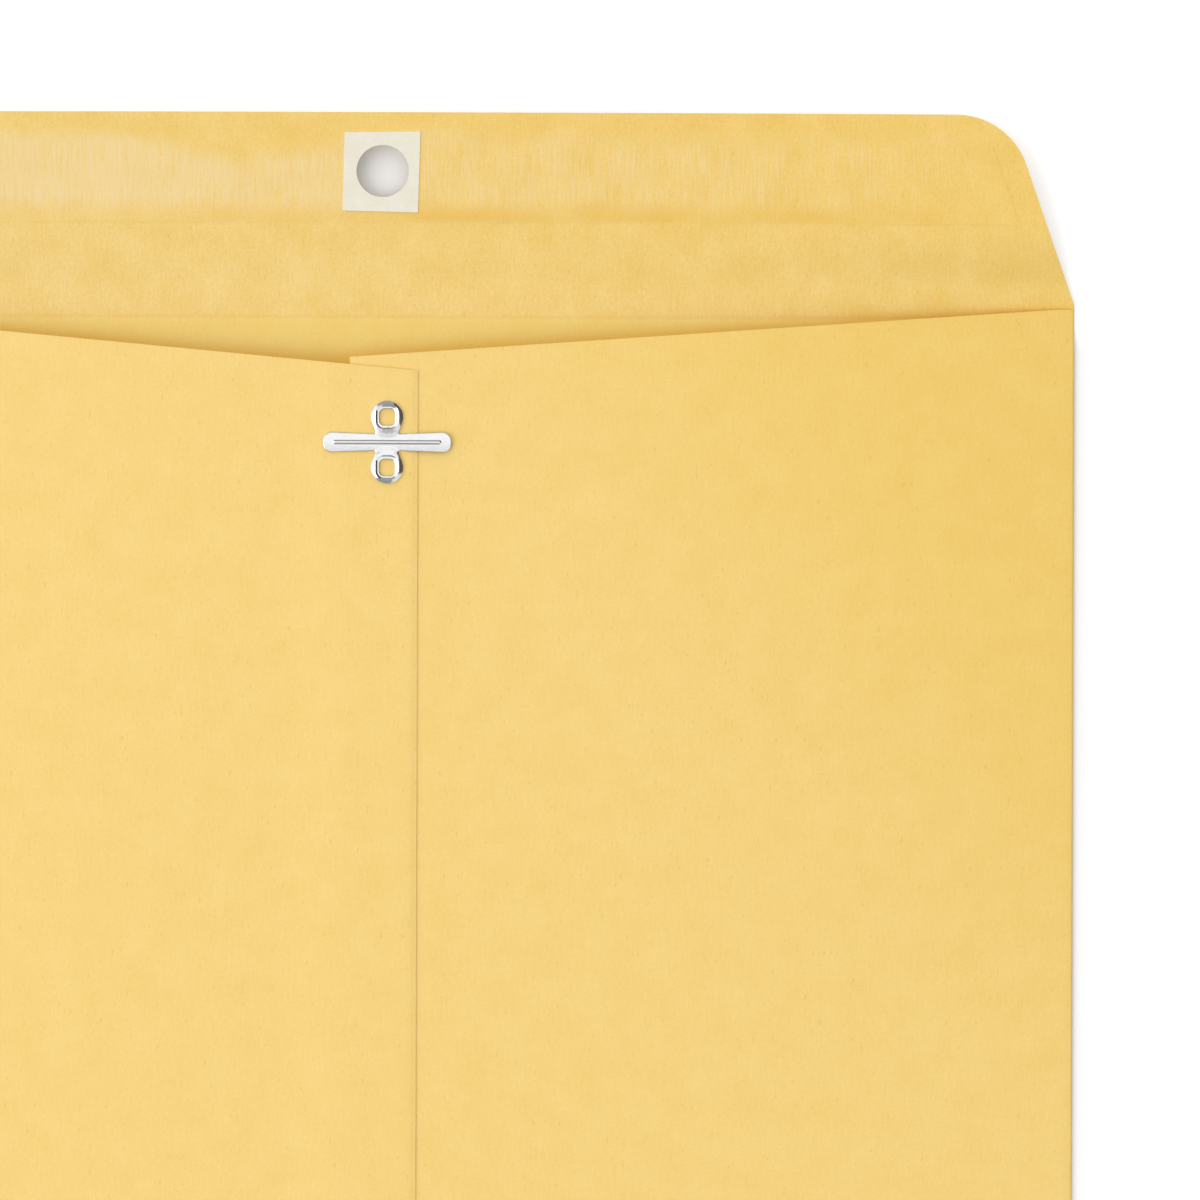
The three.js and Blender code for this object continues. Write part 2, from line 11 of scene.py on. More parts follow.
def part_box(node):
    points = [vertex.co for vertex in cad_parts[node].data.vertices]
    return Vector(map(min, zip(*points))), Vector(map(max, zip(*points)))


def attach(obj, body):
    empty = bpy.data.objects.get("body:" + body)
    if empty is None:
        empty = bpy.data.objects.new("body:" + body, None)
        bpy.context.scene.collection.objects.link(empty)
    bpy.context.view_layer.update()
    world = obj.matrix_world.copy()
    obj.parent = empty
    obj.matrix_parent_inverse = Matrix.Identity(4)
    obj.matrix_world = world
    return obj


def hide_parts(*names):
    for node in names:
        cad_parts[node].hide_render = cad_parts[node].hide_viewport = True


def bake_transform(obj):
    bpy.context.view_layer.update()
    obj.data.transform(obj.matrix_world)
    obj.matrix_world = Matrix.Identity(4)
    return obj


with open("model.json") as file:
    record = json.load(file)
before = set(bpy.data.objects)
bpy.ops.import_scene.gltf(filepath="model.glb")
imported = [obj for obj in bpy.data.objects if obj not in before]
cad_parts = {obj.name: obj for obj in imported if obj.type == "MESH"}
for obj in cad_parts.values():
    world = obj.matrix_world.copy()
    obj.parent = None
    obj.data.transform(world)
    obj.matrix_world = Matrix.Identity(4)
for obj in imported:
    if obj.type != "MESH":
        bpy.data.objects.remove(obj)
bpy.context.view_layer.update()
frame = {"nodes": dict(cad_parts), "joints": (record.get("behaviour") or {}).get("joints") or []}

MM = 0.001
QUARTER = math.pi / 2

# Paper blank, with the values of the solid model
PAPER = 0.2
POCKET_DEPTH = 5.2
CREASE_DEPTH = 0.4
BOW_POWER = 2.5
BOW_RISE = 280
SHEET_GAP = 0.06
LEFT_REACH = 6.1
RIGHT_REACH = 6.4
LEFT_SHOULDER = 7.8
RIGHT_SHOULDER = 2.9
LEFT_THROAT_MARGIN = 5.5
RIGHT_THROAT_MARGIN = 8
SEAM_GLUE = 0.08
SEAM_GLUE_MARGIN = 1.2
STEP_LEAD = 1
BOTTOM_FLAP_HEIGHT = 28
BOTTOM_FLAP_INSET = 1.5
BOTTOM_FLAP_SLOPE = 0.35
BOTTOM_FLAP_RADIUS = 8
BOTTOM_FOLD_BULGE = 0.5
PANEL_END_GAP = 0.3

# The back panels' top edges: side, shoulder, reach and margin over the clasp
LEFT_EDGE = (-1, LEFT_SHOULDER, LEFT_REACH, LEFT_THROAT_MARGIN)
RIGHT_EDGE = (1, RIGHT_SHOULDER, RIGHT_REACH, RIGHT_THROAT_MARGIN)

# Seal flap, gum, hole and patch, with the values of the solid model
FLAP_LIFT = math.radians(7)
FLAP_HEIGHT = 36.2
FLAP_SLOPE = 0.345
FLAP_SHOULDER = 0.9
FLAP_RADIUS = 13.7
FLAP_CURL = 2.4
FLAP_CURL_START = 16
GUM_MARGIN = 2.9
GUM_WIDTH = 16.5
GUM_INSET = 5
GUM_CORNER = 4
HOLE_RADIUS = 4.83
HOLE_OFFSET = -1

# Clasp, with the values of the solid model
METAL = 0.3
EAR_RADIUS = 3.05
EAR_Y = 9.3 / 2  # from the clasp's middle to each ear's
EAR_HOLE_X = 2.86 / 2  # half the width and half the height of an ear's hole
EAR_HOLE_Y = 3.1 / 2
EAR_HOLE_RADIUS = 0.9
CLASP_GAP = 0.1
NECK_WIDTH = 4.2
TOOTH_WIDTH = 1.4
TOOTH_REACH = 1.2
BAR_END = 23.6 / 2  # from the clasp's middle to each prong's tip
PRONG_END_WIDTH = 3.7
PRONG_ROOT_WIDTH = 3.1

# Looks of the paper pieces
SEAM_RAMP = 12  # over which a sheet climbs onto the seam
SEAM_SETTLE = 0.17  # how far the loose edge past the glue settles
SLIT_MARGIN = 0.02  # round each tooth in its slit
SCORE_V = -1.7  # the score line, where the flap starts to rise
CREASE_END = 5  # where the flap has reached its own plane
FLAP_TONGUE = 30  # how far the flap's sheet runs into the pocket
FLAP_EASE = 0.4  # length over which its sides leave the side folds
BEND_REACH = 2  # half the strip that bends when the flap closes
GUM_FILM = 0.03
GUM_LIFT = 0.01  # from the flap's paper to the gum film
GUM_TAIL = 0.9  # how far the stain runs on below the gum
PATCH_PAPER = 0.16
PATCH_LIFT = 0.05  # from the flap's paper to the patch
# The patch's corners, from the hole's middle
PATCH_CORNERS = [(-7.4, -7.3), (6.5, -7.65), (6.95, 7.35), (-7, 7.15)]

# Looks of the clasp
EAR_CROWN = 0.42  # height of the ears' crest on its free side
EAR_NECK_CROWN = 0.34  # and towards the neck
NECK_RUN = 0.75  # how far the crest's slope runs on into the neck
EAR_CREST = 0.72  # from the hole's edge out to the crest
EAR_RIM = 0.32  # width of the flat rim round the hole on its free side
EAR_NECK_RIM = 0.46  # and towards the neck
EAR_RIM_RISE = 0.15
EAR_INNER_EASE = 0.4  # how much the crest's two flanks are rounded
EAR_OUTER_EASE = 0.5
NECK_ANGLE = math.radians(35)  # half the angle over which the crest is low
NECK_BLEND = math.radians(40)
NECK_FILLET = 0.4
NECK_TANGENT = math.radians(22)  # below the ear's middle, where the neck's side meets it
PRONG_CUT = 2.35  # from the clasp's middle to the prongs' own pieces
PRONG_BEND = 0.8  # length of the strip that bends
TIP_RADIUS = 1.65
RIB_HALF = 0.42
RIB_FLANK = 0.3
RIB_HEIGHT = 0.17
RIB_EASE = 0.5
RIB_REACH = 10  # from the clasp's middle to the ends of the rib
# Rows of points over the rib, from the bar's middle
RIB_ROWS = [0, 0.06, 0.12, 0.16, 0.2, 0.24, 0.28, 0.32, 0.36, 0.42, 0.48]
EDGE_DROP = 0.07  # how far the sheet's edge is rounded down
EDGE_ROUND = 0.1  # and over what width
BAR_CROWN = 0.09
TOOTH_METAL = 0.24
TOOTH_BEND = 0.25
TOOTH_ROOT = 0.12  # how far a tooth starts below the rim
TOOTH_TAPER = 0.92

# Widest gaps between grid lines, on the sheets and on the metal
FRONT_STEP = 6
FLAP_STEP = 3
CREASE_STEP = 0.25
RISE_STEP = 1.5  # from the crease to the hole
HOLE_STEP = 0.6
GUM_STEP = 1.2
PATCH_STEP = math.pi / 36  # an angle
PANEL_STEP = 2
ROW_STEP = 4
EDGE_STEP = 0.3  # along the panels' edges at the seam
SEAM_STEP = 1
METAL_STEP = 0.2
RIM_STEP = 0.14
RING_STEP = 0.09

# Camera: straight above, with a long lens
VIEW_X = 39.76
VIEW_Y = 111.34
VIEW_WIDTH = 221.2
VIEW_DISTANCE = 3000
VIEW_ROLL = math.radians(0.178)


def mix(start, end, share):
    return start + (end - start) * share


def smooth(share):
    s = np.clip(share, 0, 1)
    return s * s * (3 - 2 * s)


def lines(stops, step):
    """Grid lines through every stop, with no gap wider than step."""
    found = [float(stops[0])]
    for low, high in zip(stops, stops[1:]):
        count = max(1, math.ceil(abs(high - low) / step - 1e-6))
        found += [float(mix(low, high, i / count)) for i in range(1, count + 1)]
    return found


def joint_place(name):
    """A point on a joint's axis, in millimetres."""
    joint = next(j for j in frame["joints"] if j["name"] == name)
    return np.array(joint["pos_m"]) / MM


# Places that follow from the frame and from the sizes above
flap_low, flap_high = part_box("seal_flap")
half_width = (flap_high.x - flap_low.x) / 2 / MM
fold_y, flap_axis_z = joint_place("flap_fold")[1:]
bottom_y = -fold_y
crease_radius = (PAPER + CREASE_DEPTH) / 2
crease_x = half_width - PAPER / 2 - crease_radius
crease_arc = math.pi * crease_radius
seam_lift = PAPER + SEAM_GLUE + 2 * SHEET_GAP
seam_left = -(RIGHT_REACH + STEP_LEAD + SEAM_RAMP)  # where sheets start to climb onto the seam
seam_right = LEFT_REACH + STEP_LEAD + SEAM_RAMP
bottom_start_y = bottom_y + PAPER / 2 + BOTTOM_FOLD_BULGE
panel_end_y = bottom_start_y + PANEL_END_GAP
clasp_x, clasp_y, bend_z = (joint_place("left_prong_bend") + joint_place("right_prong_bend")) / 2
clasp_z = bend_z - METAL / 2
clasp_top = clasp_y + (EAR_Y + EAR_RADIUS)
hole_x = clasp_x + HOLE_OFFSET
hole_v = fold_y - clasp_y + flap_axis_z * math.sin(FLAP_LIFT)
gum_start = FLAP_HEIGHT - GUM_MARGIN - GUM_WIDTH


def pocket_gap(x, y):
    """Clear height between the front panel and the back panels."""
    across = 1 - np.minimum(1, np.abs(x) / crease_x) ** BOW_POWER
    return CREASE_DEPTH + (POCKET_DEPTH - CREASE_DEPTH) * across * smooth((y - bottom_y) / BOW_RISE)


def panel_top(x, y):
    return PAPER + pocket_gap(x, y) + PAPER


def climb_onto_seam(x):
    """How much a sheet is lifted where it lies over the right panel's edge."""
    return seam_lift * smooth((x - seam_left) / SEAM_RAMP)


def climb_over_seam(x):
    return np.minimum(climb_onto_seam(x), seam_lift * smooth((seam_right - x) / SEAM_RAMP))


def climb_and_settle(x):
    """The same climb, with the loose edge past the glue resting on the panel below."""
    loose = smooth((x - LEFT_REACH + SEAM_GLUE_MARGIN) / SEAM_GLUE_MARGIN)
    return climb_onto_seam(x) - SEAM_SETTLE * loose


def flap_curl(x, v):
    """How far the flap's ends curl up out of its own plane."""
    return FLAP_CURL * (np.abs(x) / half_width) ** BOW_POWER * smooth(v / FLAP_CURL_START)


def cornered_half(v, shoulder, height, slope, radius):
    """Half the width of an outline with straight sides that run in and round corners."""
    centre_x = shoulder - slope * (height - radius) - radius * math.hypot(1, slope)
    corner_start = height - radius + radius * math.sin(math.atan(slope))
    over = np.clip(v - (height - radius), -radius, radius)
    corner = centre_x + np.sqrt(np.maximum(0, radius**2 - over**2))
    return np.where(v < corner_start, shoulder - slope * np.maximum(0, v), corner)


def corner_lines(height, start, radius, steps):
    """Rows over a round corner, closer together towards the far edge."""
    first = math.asin((start - (height - radius)) / radius)
    angles = [mix(first, QUARTER, i / steps) for i in range(1, steps + 1)]
    return [height - radius + radius * math.sin(a) for a in angles]


# Mesh parts: points in millimetres, faces, a material index for each face, and for each
# point its place on the flat blank, which the materials follow
def grid_part(across, along, place, thickness, keep=None, ring=False):
    """A closed sheet of even thickness over a grid, with a second material on its lower side.
    place gives the middle of the sheet in space and on the flat blank."""
    u, v = np.meshgrid(across, along, indexing="ij")
    middle, blank = place(u, v)
    if ring:
        step = np.roll(middle, -1, axis=0) - np.roll(middle, 1, axis=0)
    else:
        step = np.gradient(middle, axis=0)
    normal = np.cross(step, np.gradient(middle, axis=1))
    normal /= np.maximum(np.linalg.norm(normal, axis=2, keepdims=True), 1e-12)
    points, flat = [], []
    for depth in (thickness / 2, -thickness / 2):
        points.append(middle + normal * depth)
        flat.append(np.dstack([blank, np.full_like(u, depth)]))
    columns, rows = u.shape
    kept = np.ones((columns if ring else columns - 1, rows - 1), bool)
    if keep:
        kept &= keep((u[:-1, :-1] + u[1:, 1:]) / 2, (v[:-1, :-1] + v[1:, 1:]) / 2)
    cells = [tuple(cell) for cell in np.argwhere(kept).tolist()]
    present = set(cells)
    below = columns * rows
    faces, materials = [], []
    for i, j in cells:
        before, after = (i - 1) % columns, (i + 1) % columns
        corners = [i * rows + j, after * rows + j, after * rows + j + 1, i * rows + j + 1]
        faces += [corners, [c + below for c in reversed(corners)]]
        materials += [0, 1]
        for k, beside in enumerate([(i, j - 1), (after, j), (i, j + 1), (before, j)]):
            if beside not in present:
                p, q = corners[k], corners[(k + 1) % 4]
                faces.append([q, p, p + below, q + below])
                materials.append(0)
    points, flat = (np.concatenate(sides).reshape(-1, 3) for sides in (points, flat))
    return points, faces, materials, flat


def add_object(name, data):
    made = bpy.data.objects.new(name, data)
    bpy.context.scene.collection.objects.link(made)
    return made


SHARP_ANGLE = math.radians(35)


def make_piece(name, node, body, parts, materials, slot):
    """One object from the points that closed parts use, in metres, in place of a node.
    It rides on a body when one is given."""
    points, faces, indices, flat = [], [], [], []
    count = 0
    for place, its_faces, its_indices, its_flat in parts:
        used = sorted({k for face in its_faces for k in face})
        number = {k: count + i for i, k in enumerate(used)}
        points.append(place[used])
        faces += [[number[k] for k in face] for face in its_faces]
        indices += [min(k, len(materials) - 1) for k in its_indices]
        flat.append(its_flat[used])
        count += len(used)
    mesh = bpy.data.meshes.new(name)
    mesh.from_pydata((np.concatenate(points) * MM).tolist(), [], faces)
    for material in materials:
        mesh.materials.append(material)
    mesh.polygons.foreach_set("material_index", indices)
    mesh.polygons.foreach_set("use_smooth", [True] * len(faces))
    blank = mesh.attributes.new("blank", "FLOAT_VECTOR", "POINT")
    blank.data.foreach_set("vector", (np.concatenate(flat) * MM).astype(np.float32).ravel())
    mesh.update()
    mesh.set_sharp_from_angle(angle=SHARP_ANGLE)
    piece = add_object(name, mesh)
    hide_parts(node)
    if body:
        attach(piece, body)
    return piece


# Node helpers
def link(start, end):
    end.id_data.links.new(start, end)


def add_node(kind, inputs, tree=None, **settings):
    """Adds a node to a tree, by default the one its inputs come from, and gives its outputs."""
    sockets = [value for value in inputs.values() if isinstance(value, bpy.types.NodeSocket)]
    node = (tree or sockets[0].id_data).nodes.new(kind)
    for key, value in settings.items():
        setattr(node, key, value)
    for key, value in inputs.items():
        if value in sockets:
            link(value, node.inputs[key])
        else:
            node.inputs[key].default_value = value
    return node.outputs


def maths(operation, *values):
    return add_node("ShaderNodeMath", dict(enumerate(values)), operation=operation)[0]


def minus(first, second):
    return maths("SUBTRACT", first, second)


def scaled(value, factor, added):
    return maths("MULTIPLY_ADD", value, factor, added)


def vector_maths(operation, *values):
    return add_node("ShaderNodeVectorMath", dict(enumerate(values)), operation=operation)


def product(first, *others):
    for other in others:
        first = maths("MULTIPLY", first, other)
    return first


def noise(vector, size, detail=2, rough=0.5):
    """Noise from 0 to 1 whose blotches are about size millimetres across."""
    inputs = {"Vector": vector, "Scale": 1 / (size * MM), "Detail": detail, "Roughness": rough}
    return add_node("ShaderNodeTexNoise", inputs)["Fac"]


def stretched(vector, factors):
    return vector_maths("MULTIPLY", vector, factors)[0]


def ramp(value, low, high, start=0, end=1):
    """Goes smoothly from start at low to end at high."""
    inputs = {"Value": value, "From Min": low, "From Max": high, "To Min": start, "To Max": end}
    return add_node("ShaderNodeMapRange", inputs, interpolation_type="SMOOTHSTEP")["Result"]


def blended(factor, first, second, kind="MIX"):
    inputs = {0: factor, 6: first, 7: second}
    return add_node("ShaderNodeMix", inputs, data_type="RGBA", blend_type=kind)[2]


def blank_place(tree):
    return add_node("ShaderNodeAttribute", {}, tree, attribute_name="blank")["Vector"]


def object_place(tree):
    return add_node("ShaderNodeTexCoord", {}, tree)["Object"]


def new_material(name, roughness, metallic=0, specular=0.5, place=blank_place):
    """A material, its shader's inputs and the place that its looks follow."""
    material = bpy.data.materials.new(name)
    material.use_nodes = True
    shader = material.node_tree.nodes["Principled BSDF"].inputs
    shader["Roughness"].default_value = roughness
    shader["Metallic"].default_value = metallic
    shader["Specular IOR Level"].default_value = specular
    return material, shader, place(material.node_tree)


def axes_of(vector):
    return add_node("ShaderNodeSeparateXYZ", {0: vector})


def in_mm(place):
    """How far a place is across and along."""
    axes = axes_of(place)
    return product(axes[0], 1 / MM), product(axes[1], 1 / MM)


def dress(shader, colour, relief, depth):
    """Gives a shader its colour and its fine relief."""
    link(colour, shader["Base Color"])
    bump = add_node("ShaderNodeBump", {"Height": relief, "Distance": depth * MM})
    link(bump["Normal"], shader["Normal"])


def centred(value, gain, middle):
    """Noise turned to swing round middle with the given gain."""
    return scaled(minus(value, 0.5), gain, middle)


# Kraft paper. cloud and fine are the strengths of its clouds and its mottle. shade_falloff says
# where painted shade darkens it, as light and sheen fall off: by so much across, by so much along,
# and from where to where
KRAFT_OUTSIDE = {
    "dark": (0.806, 0.528, 0.09, 1),
    "light": (0.925, 0.687, 0.276, 1),
    "cloud": 0.4,
    "fine": 0.5,
    "shade_falloff": (0.8, 0.6, 90, 175),
}
KRAFT_INSIDE = {
    "dark": (0.808, 0.525, 0.096, 1),
    "light": (0.934, 0.698, 0.292, 1),
    "cloud": 0.75,
    "fine": 0.75,
    "shade_falloff": (0.08, 0.34, 52, 74),
}
KRAFT_PAINTED_SHADE = (0.99, 0.95, 0.735, 1)  # painted shade, where light and sheen fall off across the paper
KRAFT_FIBRE = (0.7, 0.4, 0.075, 1)
# painted shade along the score line's crease
KRAFT_SCORE_SHADE = (0.74, 0.45, 0.085, 1)
# painted shade: the pocket's inside below the score line, darker and warmer
KRAFT_THROAT_SHADE = (0.82, 0.59, 0.125, 1)
KRAFT_UNDER_PANEL_SHADE = (1, 0.91, 0.6, 1)  # painted shade on the paper just under the back panels' edges
UNDER_PANEL_SHADE_FADE = (-0.4, 2.6)  # where that painted shade fades out, from their edges
THROAT_SHADE_FADE = (-1.5, 1)  # where the painted shade of the pocket's inside fades out, from the score line
SCORE_HALF = (0.1, 0.55)  # half the score line's width, and with its soft edge
PAPER_TOOTH = 0.012


def kraft_tone(place, dark, light, cloud, fine, shade_falloff):
    """The paper's colour: clouds, fine mottle, fibres along the grain, sparse specks, and painted
    shade where light and sheen fall off.
    """
    clouds = noise(place, 7, 3, 0.55)
    mottle = noise(place, 0.5, 2, 0.6)
    grain = noise(stretched(place, (1, 0.12, 1)), 0.25, 3, 0.6)
    tone = centred(clouds, cloud, 0.5)
    tone = centred(mottle, fine, tone)
    tone = centred(grain, 0.8 * fine, tone)
    tone = maths("MAXIMUM", maths("MINIMUM", tone, 1), 0)
    paper = blended(tone, dark, light)
    specks = noise(stretched(place, (1, 0.35, 1)), 0.55, 1, 0.4)
    paper = blended(ramp(specks, 0.69, 0.78, 0, 0.3), paper, KRAFT_FIBRE)
    # painted shade: darker where light and sheen fall off
    across, along, low, high = shade_falloff
    x, y = in_mm(place)
    reach = scaled(x, across, product(y, along))
    paper = blended(ramp(reach, low, high), paper, KRAFT_PAINTED_SHADE, "MULTIPLY")
    return paper, grain, mottle


def throat_place(x):
    """How far along the blank the back panels reach, over the front panel's inside."""
    edges = []
    for side, shoulder, reach, margin in (LEFT_EDGE, RIGHT_EDGE):
        start = half_width - shoulder
        slope = (clasp_top + margin - fold_y) / (start + reach)
        past = maths("MAXIMUM", scaled(x, -side, start), 0)
        edges.append(scaled(past, slope, fold_y))
    return maths("MAXIMUM", *edges)


def under_panel_shade(place, colour):
    """Painted shade: a darker, warmer tint on the paper just under the back panels' edges."""
    x, y = in_mm(place)
    past = minus(y, throat_place(x))
    tint = ramp(past, *UNDER_PANEL_SHADE_FADE, 1, 0)
    return blended(tint, colour, KRAFT_UNDER_PANEL_SHADE, "MULTIPLY")


def score_line_and_shade(place, colour):
    """The pressed line that the flap folds on, darkened partly as painted shade of its crease, and
    painted shade on the pocket's inside below it.
    """
    y = in_mm(place)[1]
    score_y = fold_y + SCORE_V
    waver = centred(noise(place, 1.5, 2), 0.5, 0)
    away = maths("ABSOLUTE", maths("ADD", minus(y, score_y), waver))
    # painted shade below the score line
    throat_shade = ramp(y, score_y + THROAT_SHADE_FADE[0], score_y + THROAT_SHADE_FADE[1], 0.55, 0)
    paper = blended(throat_shade, colour, KRAFT_THROAT_SHADE)
    return blended(ramp(away, *SCORE_HALF, 0.2, 0), paper, KRAFT_SCORE_SHADE)


def kraft_material(name, look, roughness, scored_and_shaded):
    material, shader, place = new_material(name, roughness)
    colour, grain, mottle = kraft_tone(place, **look)
    if scored_and_shaded:
        # the score line, and painted shade below it and under the back panels' edges
        colour = under_panel_shade(place, score_line_and_shade(place, colour))
    tooth = scaled(grain, 0.5, mottle)
    sheen = ramp(tooth, 0.4, 1.1, roughness - 0.06, roughness + 0.08)
    link(sheen, shader["Roughness"])
    dress(shader, colour, tooth, PAPER_TOOTH)
    return material


# Dried gum on the flap. Heights are from the fold, and the stain's are from the gum's lower edge
# the gum's whitish haze, partly painted sheen, stronger to the left
GUM_HAZE_AND_SHEEN = (0.875, 0.68, 0.37, 1)
GUM_SAG_X = -24  # where the gum's upper border sags
GUM_SAG_WIDTH = 15
GUM_SAG = 5.5
GUM_BORDER = 32.4  # its upper border elsewhere
GUM_WAVER = 5
GUM_ABOVE = (-2, 2.2)  # where it starts and is full, from its upper border down
GUM_BELOW = (-0.6, 4.4)  # and from its lower edge up
GUM_FADE = (103, 111)  # where it thins out towards the flap's sides
STAIN = (0.785, 0.435, 0.03, 1)
STAIN_SHARE = 0.44
STAIN_DROP = 0.2  # the darkest line is so far below the edge
STAIN_ABOVE = 4.2  # and the stain fades out so far above and below it
STAIN_BELOW = 1.1
STAIN_FADE = (98, 108)  # where it ends towards the flap's sides


def gum_cover(x, v, place):
    """How much gum there is: a band with a wavy upper border that sags beside the patch."""
    offset = maths("DIVIDE", minus(x, GUM_SAG_X), GUM_SAG_WIDTH)
    bell = maths("EXPONENT", product(maths("POWER", offset, 2), -1))
    waver = centred(noise(place, 14, 2, 0.5), GUM_WAVER, GUM_BORDER)
    border = scaled(bell, -GUM_SAG, waver)
    upper = ramp(minus(border, v), *GUM_ABOVE)
    lower = ramp(v, gum_start + GUM_BELOW[0], gum_start + GUM_BELOW[1])
    sides = ramp(maths("ABSOLUTE", x), *GUM_FADE, 1, 0)
    return product(upper, lower, sides)


def gum_stain(x, v, place):
    """The darker, patchy line along the gum's lower edge."""
    above = minus(v, gum_start - STAIN_DROP)
    fading = ramp(above, 0, STAIN_ABOVE, STAIN_SHARE, 0)
    line = maths("MINIMUM", fading, ramp(above, -STAIN_BELOW, 0, 0, STAIN_SHARE))
    patchy = ramp(noise(place, 22, 1), 0.36, 0.6, 0.35, 1)
    rightwards = ramp(x, -50, 10, 0.15, 1)
    sides = ramp(maths("ABSOLUTE", x), *STAIN_FADE, 1, 0)
    return product(line, rightwards, patchy, sides)


def gum_material():
    """Streaky gum over the paper's inside, its haze thicker to the left, partly as painted sheen.
    """
    material, shader, place = new_material("gum", 0.4)
    colour, grain, mottle = kraft_tone(place, **KRAFT_INSIDE)
    x, y = in_mm(place)
    v = minus(y, fold_y)
    streaks = noise(stretched(place, (1, 0.05, 1)), 0.35, 2, 0.6)
    cloud = noise(stretched(place, (1, 0.6, 1)), 9, 3, 0.55)
    # how much haze: partly gum, partly painted sheen stronger to the left
    haze_and_sheen = ramp(x, -38, 28, 0.45, 0.15)
    haze_and_sheen = minus(haze_and_sheen, ramp(x, 35, 95, 0, 0.1))
    haze_and_sheen = centred(cloud, 0.5, centred(streaks, 1.5, haze_and_sheen))
    gum_and_sheen = maths("MAXIMUM", product(haze_and_sheen, gum_cover(x, v, place)), 0)
    with_haze_and_sheen = blended(gum_and_sheen, colour, GUM_HAZE_AND_SHEEN)
    stained = blended(gum_stain(x, v, place), with_haze_and_sheen, STAIN)
    link(ramp(gum_and_sheen, 0, 0.7, 0.56, 0.4), shader["Roughness"])
    dress(shader, stained, scaled(streaks, 0.8, mottle), PAPER_TOOTH)
    return material


# Cream paper of the patch
PATCH_LIGHT = (0.84, 0.805, 0.68, 1)
PATCH_DARK = (0.8, 0.755, 0.61, 1)


def patch_material():
    material, shader, place = new_material("patch_paper", 0.6)
    clouds = noise(place, 3.5, 3, 0.55)
    grain = noise(stretched(place, (0.3, 1, 1)), 0.25, 3, 0.6)
    tone = scaled(grain, 0.5, product(clouds, 0.5))
    colour = blended(ramp(tone, 0.35, 0.65), PATCH_DARK, PATCH_LIGHT)
    dress(shader, colour, grain, 0.01)
    return material


GLUE_LIGHT = (0.8, 0.72, 0.53, 1)
GLUE_DARK = (0.62, 0.52, 0.33, 1)


def glue_material():
    """Dry, lumpy paste."""
    material, shader, place = new_material("dry_glue", 0.45, place=object_place)
    lumps = noise(place, 1.2, 3, 0.6)
    dress(shader, blended(lumps, GLUE_DARK, GLUE_LIGHT), lumps, 0.03)
    return material


TIN_LIGHT = (0.94, 0.94, 0.945, 1)
TIN_DARK = (0.87, 0.87, 0.88, 1)
TIN_NECK_GREY = (0.5, 0.48, 0.46, 1)
NECK_GREY_Y = 2.15  # of the greyer patch on the neck, from the clasp's middle
NECK_GREY_FADE = (0.3 * MM, 0.8 * MM)


def neck_grey_patch(scuffs):
    """A greyer patch on the neck, between the bar and an ear."""
    middle = (clasp_x * MM, (clasp_y + NECK_GREY_Y) * MM, 0)
    offset = vector_maths("SUBTRACT", object_place(scuffs.id_data), middle)[0]
    reach = vector_maths("LENGTH", stretched(offset, (0.45, 1, 0)))["Value"]
    return ramp(centred(scuffs, -1.2 * MM, reach), *NECK_GREY_FADE, 0.75, 0)


def tin_material():
    """Bright tinned steel, with faint rolling lines and scuffs."""
    material, shader, place = new_material("tinned_steel", 0.14, metallic=1)
    rolling = noise(stretched(place, (0.06, 1, 1)), 0.12, 2, 0.5)
    scuffs = noise(place, 0.8, 3, 0.6)
    tone = centred(scuffs, 0.6, rolling)
    bright = blended(ramp(tone, 0.3, 0.6), TIN_DARK, TIN_LIGHT)
    colour = blended(neck_grey_patch(scuffs), bright, TIN_NECK_GREY)
    link(ramp(scuffs, 0.35, 0.75, 0.12, 0.2), shader["Roughness"])
    dress(shader, colour, tone, 0.003)
    return material


kraft_outside = kraft_material("kraft_outside", KRAFT_OUTSIDE, 0.52, False)
kraft_inside = kraft_material("kraft_inside", KRAFT_INSIDE, 0.58, True)
gum = gum_material()
patch_paper = patch_material()
dry_glue = glue_material()
tin = tin_material()
INSIDE_UP = ([kraft_inside, kraft_outside], "kraft_paper")
OUTSIDE_UP = ([kraft_outside, kraft_inside], "kraft_paper")


# Paper pieces
def make_front_panel():
    def place(x, y):
        return np.dstack([x, y, np.full_like(x, PAPER / 2)]), np.dstack([x, y])

    across = lines([-crease_x, crease_x], FRONT_STEP)
    along = lines([bottom_start_y, fold_y - FLAP_TONGUE], FRONT_STEP)
    part = grid_part(across, along, place, PAPER)
    make_piece("front_panel_sheet", "front_panel", "pocket", [part], *INSIDE_UP)


def flap_half(v):
    """Half the flap's width at a distance v from the fold."""
    outer = cornered_half(
        v - FLAP_SHOULDER, half_width, FLAP_HEIGHT - FLAP_SHOULDER, FLAP_SLOPE, FLAP_RADIUS
    )
    return mix(crease_x, outer, smooth((v + FLAP_EASE) / FLAP_EASE))


def gum_half(v):
    start = gum_start - GUM_TAIL
    shoulder = half_width - FLAP_SLOPE * (start - FLAP_SHOULDER) - GUM_INSET
    return cornered_half(v - start, shoulder, GUM_WIDTH + GUM_TAIL, FLAP_SLOPE, GUM_CORNER)


def in_flap_plane(x, v, height):
    """From the flap's own flat plane, with its fold at v = 0, to its lifted place."""
    rise = height + flap_curl(x, v)
    y = fold_y + v * math.cos(FLAP_LIFT) - rise * math.sin(FLAP_LIFT)
    z = v * math.sin(FLAP_LIFT) + rise * math.cos(FLAP_LIFT)
    return np.dstack([x, y, z])


